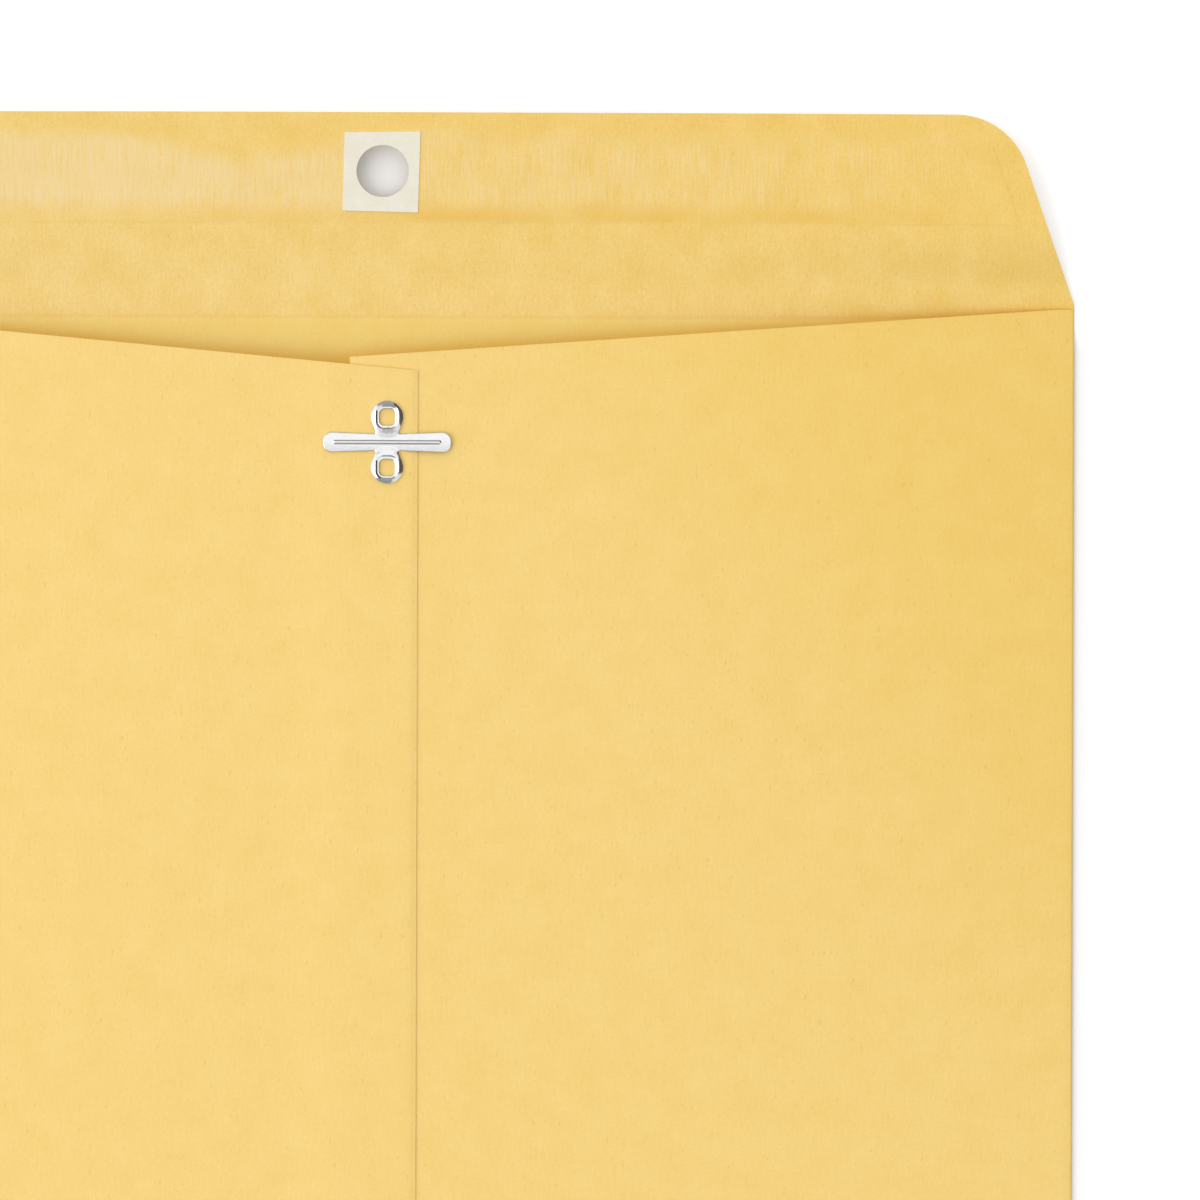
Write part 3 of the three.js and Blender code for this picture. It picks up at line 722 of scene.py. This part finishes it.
def past_crease(x, v):
    """The middle of the flap's sheet: flat in the pocket, then up from the score line."""
    middle = np.full_like(x, PAPER / 2)
    flat = np.dstack([x, fold_y + np.minimum(v, SCORE_V), middle])
    lifted = in_flap_plane(x, np.maximum(v, CREASE_END), middle)
    share = np.clip((v - SCORE_V) / (CREASE_END - SCORE_V), 0, 1)
    return mix(flat, lifted, share[..., None])


# Grid round the punched hole: a square block of lines, its inner square bent to a circle
HOLE_SQUARE = 4.1
HOLE_BLOCK = 6.4
HOLE_FANS = 8
STRAIGHT = 20  # columns nearer the middle don't run in with the sides


def hole_lines(middle):
    turns = [math.pi / 4 * k / HOLE_FANS for k in range(-HOLE_FANS, HOLE_FANS + 1)]
    fan = [HOLE_SQUARE * math.tan(turn) for turn in turns]
    margin = lines([HOLE_SQUARE, HOLE_BLOCK], HOLE_STEP)[1:]
    return [middle + d for d in [-m for m in reversed(margin)] + fan + margin]


def bend_to_hole(x, v):
    dx, dv = x - hole_x, v - hole_v
    square = np.maximum(np.abs(dx), np.abs(dv))
    reach = np.maximum(np.hypot(dx, dv), 1e-9)
    inner = HOLE_RADIUS * square / HOLE_SQUARE / reach
    factor = mix(1, inner, np.clip((HOLE_BLOCK - square) / (HOLE_BLOCK - HOLE_SQUARE), 0, 1))
    return hole_x + dx * factor, hole_v + dv * factor


def outside_hole(u, v):
    return np.maximum(np.abs(u - hole_x), np.abs(v - hole_v)) > HOLE_SQUARE


def column_x(u, half, reach):
    """Columns near the middle run straight; the others, up to reach, run in with the sides."""
    share = (np.abs(u) - STRAIGHT) / (reach - STRAIGHT)
    outer = mix(STRAIGHT, half, share)
    return np.where(np.abs(u) < STRAIGHT, u, np.sign(u) * outer)


def flap_part(along, half, middle, thickness):
    """A sheet round the punched hole, half(v) wide on each side, its middle at middle(x, v)."""
    def place(u, v):
        x, v = bend_to_hole(column_x(u, half(v), half_width), v)
        return middle(x, v), np.dstack([x, fold_y + v])

    block = hole_lines(hole_x)
    left = lines([-half_width, -STRAIGHT, block[0]], FLAP_STEP)[:-1]
    right = lines([block[-1], STRAIGHT, half_width], FLAP_STEP)[1:]
    return grid_part(left + block + right, along, place, thickness, keep=outside_hole)


def make_seal_flap():
    block = hole_lines(hole_v)
    bend = BEND_REACH + 2 * CREASE_STEP
    along = lines([-FLAP_TONGUE, -bend], FLAP_STEP)
    along += lines([-bend, SCORE_V, bend], CREASE_STEP)[1:]
    along += lines([bend, CREASE_END, block[0]], RISE_STEP)[1:-1] + block
    along += corner_lines(FLAP_HEIGHT, block[-1], FLAP_RADIUS, 12)
    part = flap_part(along, flap_half, past_crease, PAPER)
    piece = make_piece("seal_flap_sheet", "seal_flap", None, [part], *INSIDE_UP)
    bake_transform(piece)


def make_gum_strip():
    def middle(x, v):
        return in_flap_plane(x, v, PAPER + GUM_LIFT + GUM_FILM / 2)

    block = hole_lines(hole_v)
    along = lines([gum_start - GUM_TAIL, block[0]], GUM_STEP)[:-1] + block
    along += corner_lines(gum_start + GUM_WIDTH, block[-1], GUM_CORNER, 6)
    part = flap_part(along, gum_half, middle, GUM_FILM)
    make_piece("gum_film", "flap_gum_strip", "flap", [part], [gum], "flap_gum")


def patch_outline(angles):
    """Distance from the hole's middle to the patch's edge, in each direction."""
    reach = np.full_like(angles, np.inf)
    for (x0, y0), (x1, y1) in zip(PATCH_CORNERS, PATCH_CORNERS[1:] + PATCH_CORNERS[:1]):
        nx, ny = y1 - y0, x0 - x1
        facing = nx * np.cos(angles) + ny * np.sin(angles)
        hit = (nx * x0 + ny * y0) / np.where(facing > 1e-9, facing, np.nan)
        reach = np.fmin(reach, hit)
    return reach


def make_hole_patch():
    corners = sorted(math.atan2(y, x) % (2 * math.pi) for x, y in PATCH_CORNERS)
    angles = lines(corners + [corners[0] + 2 * math.pi], PATCH_STEP)[:-1]

    def place(angle, share):
        reach = mix(HOLE_RADIUS, patch_outline(angle), share)
        x, v = hole_x + reach * np.cos(angle), hole_v + reach * np.sin(angle)
        middle = in_flap_plane(x, v, PAPER + PATCH_LIFT + PATCH_PAPER / 2)
        return middle, np.dstack([x, fold_y + v])

    part = grid_part(angles[::-1], lines([0, 1], 0.2), place, PATCH_PAPER, ring=True)
    make_piece("hole_patch", "flap_hole_patch", "flap", [part], [patch_paper], "patch_paper")


def throat_edge(x, side, shoulder, reach, margin):
    """A back panel's top edge: level at the side fold, then straight down to the seam."""
    start = half_width - shoulder
    share = np.maximum(0, start - side * x) / (start + reach)
    return mix(fold_y, clasp_top + margin, share)


def slit_reach(edge):
    """The nearest and farthest place of a slit beside a hole's edge, and half its length."""
    return edge, edge + METAL + SLIT_MARGIN, TOOTH_WIDTH / 2 + SLIT_MARGIN


def in_a_slit(x, y):
    """Where the clasp's teeth go through the paper."""
    found = np.zeros(x.shape, bool)
    for ear_y in (-EAR_Y, EAR_Y):
        dx, dy = np.abs(x - clasp_x), np.abs(y - (clasp_y + ear_y))
        for along, across, edge in ((dx, dy, EAR_HOLE_X), (dy, dx, EAR_HOLE_Y)):
            near, far, half = slit_reach(edge)
            found |= (along > near) & (along < far) & (across < half)
    return found


def slit_lines(middle, edge):
    return sorted(middle + s * d for d in slit_reach(edge) for s in (-1, 1))


PANEL_LEVEL = 0.5  # from the clasp's top to where the panels' level rows end
THROAT_SPAN = 10  # the grid length of the rows from there to the edge
THROAT_ROWS = 8


def make_back_panel(name, node, edge):
    """A back panel with its side fold, from the front panel's edge round to the centre seam."""
    side, shoulder, reach, _ = edge
    lies_over = side < 0
    fold_end = crease_x + crease_arc
    level_top = clasp_top + PANEL_LEVEL

    def x_on_panel(u):
        return side * (crease_x - (np.abs(u) - fold_end))

    def place(u, v):
        turn = np.clip((np.abs(u) - crease_x) / crease_radius, 0, math.pi) - QUARTER
        on_fold = np.abs(u) < fold_end
        x = np.where(on_fold, side * (crease_x + crease_radius * np.cos(turn)), x_on_panel(u))
        top = throat_edge(x, *edge)
        y = np.where(v <= level_top, v, mix(level_top, top, (v - level_top) / THROAT_SPAN))
        fold_z = PAPER / 2 + crease_radius * (1 + np.sin(turn))
        panel_z = panel_top(x, y) - PAPER / 2 + (climb_and_settle(x) if lies_over else 0)
        return np.dstack([x, y, np.where(on_fold, fold_z, panel_z)]), np.dstack([x_on_panel(u), y])

    def keep(u, v):
        return ~((v < level_top) & in_a_slit(x_on_panel(u), v))

    steps = [side * (half_width - shoulder)] + slit_lines(clasp_x, EAR_HOLE_X)
    if lies_over:
        steps += [seam_left, seam_left + SEAM_RAMP, LEFT_REACH - SEAM_GLUE_MARGIN]
    stops = {fold_end + crease_x - side * x for x in steps}
    stops = sorted(stops | {fold_end, fold_end + crease_x + reach})
    across = lines([crease_x, fold_end], crease_arc / 8)[:-1] + lines(stops[:-1], PANEL_STEP)
    across += lines(stops[-2:], EDGE_STEP)[1:]
    rows = [y for s in (-1, 1) for y in slit_lines(clasp_y + s * EAR_Y, EAR_HOLE_Y)]
    along = lines([panel_end_y] + sorted(rows) + [level_top], ROW_STEP)
    along += [level_top + THROAT_SPAN * k / THROAT_ROWS for k in range(1, THROAT_ROWS + 1)]
    across = sorted((side * u for u in across), reverse=True)
    part = grid_part(across, along, place, PAPER, keep=keep)
    make_piece(name, node, "pocket", [part], *OUTSIDE_UP)


FOLD_SPAN = 2  # the bottom fold's grid length


def make_bottom_flap():
    shoulder = half_width - BOTTOM_FLAP_INSET
    height = BOTTOM_FLAP_HEIGHT - (bottom_start_y - bottom_y)
    above = 2 * SHEET_GAP + SEAM_GLUE

    def place(u, v):
        along = np.maximum(0, v)
        half = cornered_half(along, shoulder, height, BOTTOM_FLAP_SLOPE, BOTTOM_FLAP_RADIUS)
        x = column_x(u, half, shoulder)
        turn = np.clip(v / FOLD_SPAN, -1, 0) * math.pi + QUARTER
        y = bottom_start_y + along
        top = panel_top(x, y) + climb_over_seam(x) + above + PAPER / 2
        radius = (top - PAPER / 2) / 2
        on_fold = v < 0
        z = np.where(on_fold, PAPER / 2 + radius * (1 + np.sin(turn)), top)
        y = np.where(on_fold, bottom_start_y - BOTTOM_FOLD_BULGE * np.cos(turn), y)
        return np.dstack([x, y, z]), np.dstack([x, bottom_y - v])

    seam = [seam_left, seam_left + SEAM_RAMP, seam_right - SEAM_RAMP, seam_right]
    across = lines([-shoulder, -STRAIGHT], FLAP_STEP)[:-1]
    across += lines([-STRAIGHT] + seam + [STRAIGHT], SEAM_STEP)[:-1]
    across += lines([STRAIGHT, shoulder], FLAP_STEP)
    corner_start = height - BOTTOM_FLAP_RADIUS
    along = lines([-FOLD_SPAN, 0], FOLD_SPAN / 10)[:-1]
    along += lines([0, corner_start], PANEL_STEP)
    along += corner_lines(height, corner_start, BOTTOM_FLAP_RADIUS, 10)
    part = grid_part(across, along, place, PAPER)
    make_piece("bottom_flap_sheet", "bottom_flap", "pocket", [part], *OUTSIDE_UP)


# Clasp. Its own places are from its middle, with z from the underside of its plate
def arc_points(x, y, radius, start, end):
    count = max(2, math.ceil(abs(end - start) * radius / RIM_STEP))
    angles = [mix(start, end, i / count) for i in range(count + 1)]
    return [(x + radius * math.cos(a), y + radius * math.sin(a)) for a in angles]


def straight_points(start, end):
    count = max(1, math.ceil(math.dist(start, end) / RIM_STEP))
    return [tuple(mix(np.array(start), np.array(end), i / count)) for i in range(count + 1)]


def bar_half(x):
    """Half the bar's width, growing from the neck to the prongs' ends."""
    share = (x - PRONG_CUT) / (BAR_END - TIP_RADIUS - PRONG_CUT)
    return mix(PRONG_ROOT_WIDTH, PRONG_END_WIDTH, min(1, max(0, share))) / 2


def neck_side():
    """One side of the neck: from the bar, round the fillet, out to the ear and over its top."""
    fillet = PRONG_CUT - NECK_WIDTH / 2
    curve = [
        (PRONG_CUT - fillet * math.sin(a), bar_half(0) + NECK_FILLET * (1 - math.cos(a)))
        for a in np.linspace(0, QUARTER, 5)
    ]
    over = arc_points(0, EAR_Y, EAR_RADIUS, -NECK_TANGENT, QUARTER)
    return curve[:-1] + straight_points(curve[-1], over[0])[:-1] + over


def both_sides(run):
    return run + [(-x, y) for x, y in reversed(run[:-1])]


def cut_heights():
    """Points across the bar's cut, with the rib's own rows among them."""
    return RIB_ROWS + lines([RIB_ROWS[-1], bar_half(0)], METAL_STEP)[1:]


def base_outline():
    upper = both_sides([(PRONG_CUT, y) for y in cut_heights()[:-1]] + neck_side())[:-1]
    return upper + [(-x, -y) for x, y in upper]


def ear_hole(ear_y):
    r = EAR_HOLE_RADIUS
    x, y = EAR_HOLE_X - r, EAR_HOLE_Y - r
    points = []
    for k, (i, j) in enumerate([(1, 1), (-1, 1), (-1, -1), (1, -1)]):
        points += arc_points(i * x, ear_y + j * y, r, k * QUARTER, (k + 1) * QUARTER)
    spaced = []
    for start, end in zip(points, points[1:] + points[:1]):
        spaced += straight_points(start, end)[:-1]
    return spaced


def hole_distance(x, y):
    """Distance out from an ear's hole, from the ear's middle."""
    r = EAR_HOLE_RADIUS
    qx = np.abs(x) - (EAR_HOLE_X - r)
    qy = np.abs(y) - (EAR_HOLE_Y - r)
    return np.hypot(np.maximum(qx, 0), np.maximum(qy, 0)) + np.minimum(np.maximum(qx, qy), 0) - r


def ear_height(x, y, neck):
    """The ear's pressed form over its plate: low flat rim, inner flank, crest, outer flank."""
    reach = np.hypot(x, y)
    from_neck = np.abs(np.arctan2(x, y * neck))
    free = smooth((from_neck - NECK_ANGLE) / NECK_BLEND)
    crest = mix(EAR_NECK_CROWN, EAR_CROWN, free)
    edge = EAR_RADIUS + NECK_RUN * (1 - free)
    inner = np.maximum(0, hole_distance(x, y))
    outer = np.maximum(0, edge - reach)
    rim = mix(EAR_NECK_RIM, EAR_RIM, free)
    climb = np.clip((inner - rim) / (EAR_CREST - rim), 0, 1)
    rising = mix(EAR_RIM_RISE, crest, mix(climb, smooth(climb), EAR_INNER_EASE))
    share = np.clip(outer / np.maximum(inner + outer - EAR_CREST, 0.2), 0, 1)
    falling = crest * mix(share, np.sin(share * QUARTER), EAR_OUTER_EASE)
    return np.where(inner < EAR_CREST, rising, falling) * (reach < edge)


def rib_height(x, y):
    past_end = np.maximum(0, np.abs(x) - (RIB_REACH - RIB_HALF))
    share = np.clip((RIB_HALF - np.hypot(past_end, y)) / RIB_FLANK, 0, 1)
    return RIB_HEIGHT * mix(share, smooth(share), RIB_EASE)


def edge_distance(points, runs):
    """Distance from each point to the nearest of some runs of edges."""
    nearest = np.full(len(points), np.inf)
    for run in runs:
        a, b = np.array(run[:-1]), np.array(run[1:])
        along = b - a
        length = np.maximum((along**2).sum(axis=1), 1e-12)
        offset = points[:, None, :] - a[None]
        share = np.clip((offset * along).sum(axis=2) / length, 0, 1)
        gap = np.linalg.norm(offset - share[..., None] * along, axis=2)
        nearest = np.minimum(nearest, gap.min(axis=1))
    return nearest


def beside_run(run, distance):
    """Points at a distance from a run of edges, on both of its sides."""
    points = np.array(run)
    along = np.gradient(points, axis=0)
    along /= np.maximum(np.linalg.norm(along, axis=1, keepdims=True), 1e-9)
    out = np.column_stack([along[:, 1], -along[:, 0]]) * distance
    return np.concatenate([points + out, points - out])


def within(points, loops):
    """Whether each point is in an outline and out of its holes, from the edges to its right."""
    ax, ay = np.concatenate(loops).T
    bx, by = np.concatenate([loop[1:] + loop[:1] for loop in loops]).T
    x, y = points[:, :1], points[:, 1:]
    rise = np.where(np.abs(by - ay) < 1e-12, 1e-12, by - ay)
    crosses = ((ay > y) != (by > y)) & (x < ax + (y - ay) / rise * (bx - ax))
    return crosses.sum(axis=1) % 2 == 1


def clasp_height(points, from_edge):
    """Height of the clasp's upper face. from_edge is the distance to the nearest rounded edge."""
    x, y = points.T
    z = METAL + rib_height(x, y)
    for neck in (-1, 1):
        z = z + ear_height(x, y + neck * EAR_Y, neck)
    z -= BAR_CROWN * np.minimum(1, np.abs(y) / (PRONG_END_WIDTH / 2)) ** 2
    return z - EDGE_DROP * (1 - np.minimum(1, from_edge / EDGE_ROUND)) ** 2


def stamped_part(loops, inner, rounded):
    """A sheet metal part: an outline and its holes, filled with points and raised by its pressed
    form. rounded are the runs of its edges that are rounded."""
    closed = [loop + loop[:1] for loop in loops]
    inner = np.array(inner)
    found = [inner[edge_distance(inner, closed) > 1.5 * EDGE_ROUND]]
    for distance in (0.4 * EDGE_ROUND, EDGE_ROUND):
        points = np.concatenate([beside_run(run, distance) for run in rounded])
        found.append(points[edge_distance(points, closed) > 0.9 * distance])
    points = np.concatenate(found)
    corners = [p for loop in loops for p in loop] + points[within(points, loops)].tolist()
    edges = []
    for loop in loops:
        first = len(edges)
        edges += [(first + k, first + (k + 1) % len(loop)) for k in range(len(loop))]
    corners = [Vector(p) for p in corners]
    placed, _, triangles, *_ = geometry.delaunay_2d_cdt(corners, edges, [], 0, 1e-5, False)
    flat, triangles = np.array([tuple(p) for p in placed]), np.array(triangles)
    kept = triangles[within(flat[triangles].mean(axis=1), loops)]
    return shell(flat, clasp_height(flat, edge_distance(flat, rounded)), kept.tolist())


def shell(flat, top, triangles):
    """Closes a height field of triangles with its underside and its rim."""
    count = len(flat)
    faces, rim = [], {}
    for a, b, c in triangles:
        to_b, to_c = flat[b] - flat[a], flat[c] - flat[a]
        if to_b[0] * to_c[1] < to_b[1] * to_c[0]:
            b, c = c, b
        faces += [[a, b, c], [c + count, b + count, a + count]]
        for p, q in ((a, b), (b, c), (c, a)):
            if not rim.pop((q, p), False):
                rim[p, q] = True
    faces += [[q, p, p + count, q + count] for p, q in rim]
    points = np.concatenate([np.column_stack([flat, z]) for z in (top, top - METAL)])
    points += (clasp_x, clasp_y, clasp_z)
    return points, faces, [0] * len(faces), points


EAR_SPOKES = 96
EAR_SAMPLES = 800
EAR_WITHIN = 1.2  # inside the ear's hole all round
NECK_COLUMNS = (-2.2, 2.21)
NECK_ROWS = (0.3, 1.2)  # from the bar, to so far inside the ear
BAR_ROWS = (0.65, 1.8)  # beside the rib, to past the bar's edge


def ear_points(ear_y):
    """Points on rings from an ear's hole to its edge, with one ring along the crest."""
    points = []
    reaches = np.linspace(EAR_WITHIN, EAR_RADIUS, EAR_SAMPLES)
    for k in range(EAR_SPOKES):
        angle = 2 * math.pi * k / EAR_SPOKES
        cosine, sine = math.cos(angle), math.sin(angle)
        gap = hole_distance(reaches * cosine, reaches * sine)
        hole, crest = (reaches[np.argmax(gap > edge)] for edge in (0, EAR_CREST))
        rings = lines([hole, crest, EAR_RADIUS], RING_STEP)
        points += [(reach * cosine, ear_y + reach * sine) for reach in rings]
    return points


def bar_points(start, end):
    rows = sorted({s * r for r in RIB_ROWS for s in (-1, 1)})
    rows += [s * r for r in np.arange(*BAR_ROWS, METAL_STEP) for s in (-1, 1)]
    return [(x, y) for x in np.arange(start, end, METAL_STEP) for y in rows]


def make_clasp_base():
    holes = [ear_hole(s * EAR_Y) for s in (-1, 1)]
    inner = bar_points(-PRONG_CUT, PRONG_CUT) + ear_points(EAR_Y) + ear_points(-EAR_Y)
    low, high = bar_half(0) + NECK_ROWS[0], EAR_Y - EAR_RADIUS + NECK_ROWS[1]
    for x in np.arange(*NECK_COLUMNS, METAL_STEP):
        for y in np.arange(low, high, METAL_STEP):
            if math.hypot(x, y - EAR_Y) > EAR_RADIUS + 0.08:
                inner += [(x, y), (x, -y)]
    upper = both_sides(neck_side())
    runs = [upper, [(x, -y) for x, y in upper]] + [hole + hole[:1] for hole in holes]
    parts = [stamped_part([base_outline()] + holes, inner, runs)]
    parts += [tooth_part(s * EAR_Y, side) for s in (-1, 1) for side in range(4)]
    make_piece("clasp_base_plate", "clasp_base", "pocket", parts, [tin], "tinned_steel")


def tooth_part(ear_y, side):
    """A tooth: down through its slit, then clinched back under the paper to a point."""
    edge = EAR_HOLE_Y if side % 2 else EAR_HOLE_X
    paper_under = panel_top(clasp_x, clasp_y) - PAPER - CLASP_GAP - METAL / 2 - clasp_z
    down = METAL + EAR_RIM_RISE - TOOTH_ROOT
    straight = down - (paper_under + TOOTH_BEND)
    bent = straight + TOOTH_BEND * QUARTER
    turn = side * QUARTER

    def place(u, v):
        angle = np.clip((v - straight) / TOOTH_BEND, 0, QUARTER)
        on = np.maximum(v - bent, 0)
        out = METAL / 2 + TOOTH_BEND * (1 - np.cos(angle)) + on
        z = down - np.minimum(v, straight) - TOOTH_BEND * np.sin(angle)
        width = u * TOOTH_WIDTH / 2 * (1 - TOOTH_TAPER * np.clip(on / TOOTH_REACH, 0, 1))
        x = (edge + out) * math.cos(turn) - width * math.sin(turn) + clasp_x
        y = (edge + out) * math.sin(turn) + width * math.cos(turn) + clasp_y + ear_y
        return np.dstack([x, y, z + clasp_z]), np.dstack([x, y])

    along = lines([0, straight], 0.3) + lines([straight, bent], 0.1)[1:]
    along += lines([bent, bent + TOOTH_REACH - TOOTH_BEND], 0.2)[1:]
    return grid_part(lines([-1, 1], 0.5), along, place, TOOTH_METAL)


def prong_outline(side):
    """A prong from its cut to its round tip, drawn to the right and mirrored for the left."""
    half, root = bar_half(BAR_END), bar_half(0)
    centre = BAR_END - TIP_RADIUS
    lower = arc_points(centre, TIP_RADIUS - half, TIP_RADIUS, -QUARTER, 0)
    upper = arc_points(centre, half - TIP_RADIUS, TIP_RADIUS, 0, QUARTER)
    run = straight_points((PRONG_CUT, -root), lower[0])[:-1] + lower
    run += straight_points(lower[-1], upper[0])[1:-1] + upper
    run += straight_points(upper[-1], (PRONG_CUT, root))[1:]
    return [(side * x, y) for x, y in run]


def make_prong(name, node, side):
    run = prong_outline(side)
    heights = sorted({s * y for y in cut_heights()[:-1] for s in (-1, 1)}, reverse=True)
    outline = run + [(side * PRONG_CUT, y) for y in heights]
    inner = [(side * x, y) for x, y in bar_points(PRONG_CUT + METAL_STEP, BAR_END)]
    turns = np.linspace(-QUARTER, QUARTER, 15)
    for r in RIB_ROWS[1:]:
        end = RIB_REACH - RIB_HALF
        inner += [(side * (end + r * math.cos(a)), r * math.sin(a)) for a in turns]
    part = stamped_part([outline], inner, [run])
    piece = make_piece(name, node, None, [part], [tin], "tinned_steel")
    end = Vector((clasp_x + side * (PRONG_CUT + PRONG_BEND), clasp_y, bend_z)) * MM
    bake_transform(piece)


def dress_glue():
    """The glue keeps its own solids, between the sheets."""
    for node in ("centre_seam_glue", "bottom_flap_glue"):
        glue = frame["nodes"][node]
        glue.data.materials.clear()
        glue.data.materials.append(dry_glue)


make_front_panel()
make_seal_flap()
make_gum_strip()
make_hole_patch()
make_back_panel("right_back_sheet", "right_back_panel", RIGHT_EDGE)
make_back_panel("left_back_sheet", "left_back_panel", LEFT_EDGE)
make_bottom_flap()
make_clasp_base()
make_prong("left_prong_bar", "clasp_left_prong", -1)
make_prong("right_prong_bar", "clasp_right_prong", 1)
dress_glue()


# Floor, lights and camera
WHITE = (1, 1, 1, 1)
FLOOR_HALF = 6  # in metres
FLOOR_BOUNCE = (0.45, 0.45, 0.45, 1)  # what the floor sends back to the object
FLOOR_SEEN = (0.95, 0.95, 0.95, 1)
FLOOR_GLOW = 0.3  # painted light: the floor glows for the camera and in gloss from the flap's far edge onwards, washing out the flap's shadow
FLOOR_GLOW_START = 6  # and grows over this width before it
FLOOR_GLOW_SPREAD = 0.3  # and it comes nearer towards the sides
KEY_AZIMUTH = math.radians(197)
KEY_ELEVATION = math.radians(44)
KEY_DISTANCE = 2.6
KEY_SIZE = 2
KEY_POWER = 18
AMBIENT = 0.915  # all round
AMBIENT_LEFT = 0.3  # brighter to the left by so much, darker to the right
AMBIENT_FAR = 0.6  # the same towards the far side
TENT_NEAR = (0.8, 0.8, 0.8, 1)
TENT_DARK = (0.1, 0.086, 0.072, 1)


def make_floor():
    mesh = bpy.data.meshes.new("floor")
    low, high = -FLOOR_HALF, FLOOR_HALF
    corners = [(low, low, 0), (high, low, 0), (high, high, 0), (low, high, 0)]
    mesh.from_pydata(corners, [], [(0, 1, 2, 3)])
    material, shader, place = new_material("floor", 0.9, specular=0, place=object_place)
    shader["Emission Color"].default_value = WHITE
    rays = add_node("ShaderNodeLightPath", {}, place.id_data)
    seen = maths("MAXIMUM", rays["Is Camera Ray"], rays["Is Glossy Ray"])
    link(blended(seen, FLOOR_BOUNCE, FLOOR_SEEN), shader["Base Color"])
    x, y = in_mm(place)
    reach = maths("ADD", y, product(maths("ABSOLUTE", x), FLOOR_GLOW_SPREAD))
    edge = fold_y + FLAP_HEIGHT
    # painted light that washes out the flap's shadow on the floor
    glow = ramp(reach, edge - FLOOR_GLOW_START, edge, 0, FLOOR_GLOW)
    link(product(seen, glow), shader["Emission Strength"])
    mesh.materials.append(material)
    add_object("floor", mesh)


def make_lamp():
    """One large soft lamp, from the left and a little below the picture."""
    data = bpy.data.lights.new("key", "AREA")
    data.shape = "RECTANGLE"
    data.size = data.size_y = KEY_SIZE
    data.energy = KEY_POWER
    key = add_object("key", data)
    aim = Vector((VIEW_X, VIEW_Y, 0)) * MM
    flat = math.cos(KEY_ELEVATION)
    away = (flat * math.cos(KEY_AZIMUTH), flat * math.sin(KEY_AZIMUTH), math.sin(KEY_ELEVATION))
    key.location = aim + Vector(away) * KEY_DISTANCE
    key.rotation_euler = (aim - key.location).to_track_quat("-Z", "Y").to_euler()
    key.visible_camera = False


def ray_axes(tree):
    """The direction that a part of the surroundings lies in, along each axis."""
    return axes_of(add_node("ShaderNodeTexCoord", {}, tree)["Generated"])


def dark_band(azimuth, middle, half, soft):
    """Where an azimuth lies within half of middle, with a soft edge, all three in degrees."""
    away = maths("ABSOLUTE", minus(azimuth, math.radians(middle)))
    return ramp(away, math.radians(half + soft), math.radians(half))


def surround_colour(tree):
    """What gloss reflects: a white tent, dimmer on the near side, with three dim openings."""
    axes = ray_axes(tree)
    azimuth = maths("ARCTAN2", axes[1], axes[0])
    right = dark_band(azimuth, 25, 38, 14)
    far = product(dark_band(azimuth, 92, 34, 12), 0.72)
    near = product(dark_band(azimuth, -105, 26, 10), 0.68)
    bands = maths("MAXIMUM", maths("MAXIMUM", right, near), far)
    dark = product(bands, ramp(axes[2], 0.92, 0.8))
    tent = blended(ramp(axes[1], 0, -0.14), WHITE, TENT_NEAR)
    return blended(dark, tent, TENT_DARK)


def ambient_strength(tree):
    """Soft light from all round, stronger from the far side and from the left."""
    axes = ray_axes(tree)
    sideways = scaled(axes[0], -AMBIENT_LEFT, AMBIENT)
    return scaled(axes[1], AMBIENT_FAR, sideways)


def make_world():
    """Soft light, with its own look in gloss and plain white for the camera."""
    world = bpy.data.worlds.new("studio")
    bpy.context.scene.world = world
    world.use_nodes = True
    tree = world.node_tree
    tree.nodes.clear()
    rays = add_node("ShaderNodeLightPath", {}, tree)

    def background(colour, strength):
        inputs = {"Color": colour, "Strength": strength}
        return add_node("ShaderNodeBackground", inputs, tree)[0]

    seen = background(WHITE, ambient_strength(tree))
    for kind, colour in (("Is Glossy Ray", surround_colour(tree)), ("Is Camera Ray", WHITE)):
        inputs = {0: rays[kind], 1: seen, 2: background(colour, 1)}
        seen = add_node("ShaderNodeMixShader", inputs)[0]
    add_node("ShaderNodeOutputWorld", {"Surface": seen})


def make_camera():
    data = bpy.data.cameras.new("camera")
    data.sensor_width = 36
    data.lens = data.sensor_width * VIEW_DISTANCE / VIEW_WIDTH
    data.clip_start = 0.1
    data.clip_end = 20
    camera = add_object("camera", data)
    camera.location = Vector((VIEW_X, VIEW_Y, VIEW_DISTANCE)) * MM
    camera.rotation_euler = (0, 0, VIEW_ROLL)
    bpy.context.scene.camera = camera


make_floor()
make_lamp()
make_world()
make_camera()
bpy.context.scene.view_settings.view_transform = "Standard"

bpy.context.view_layer.update()
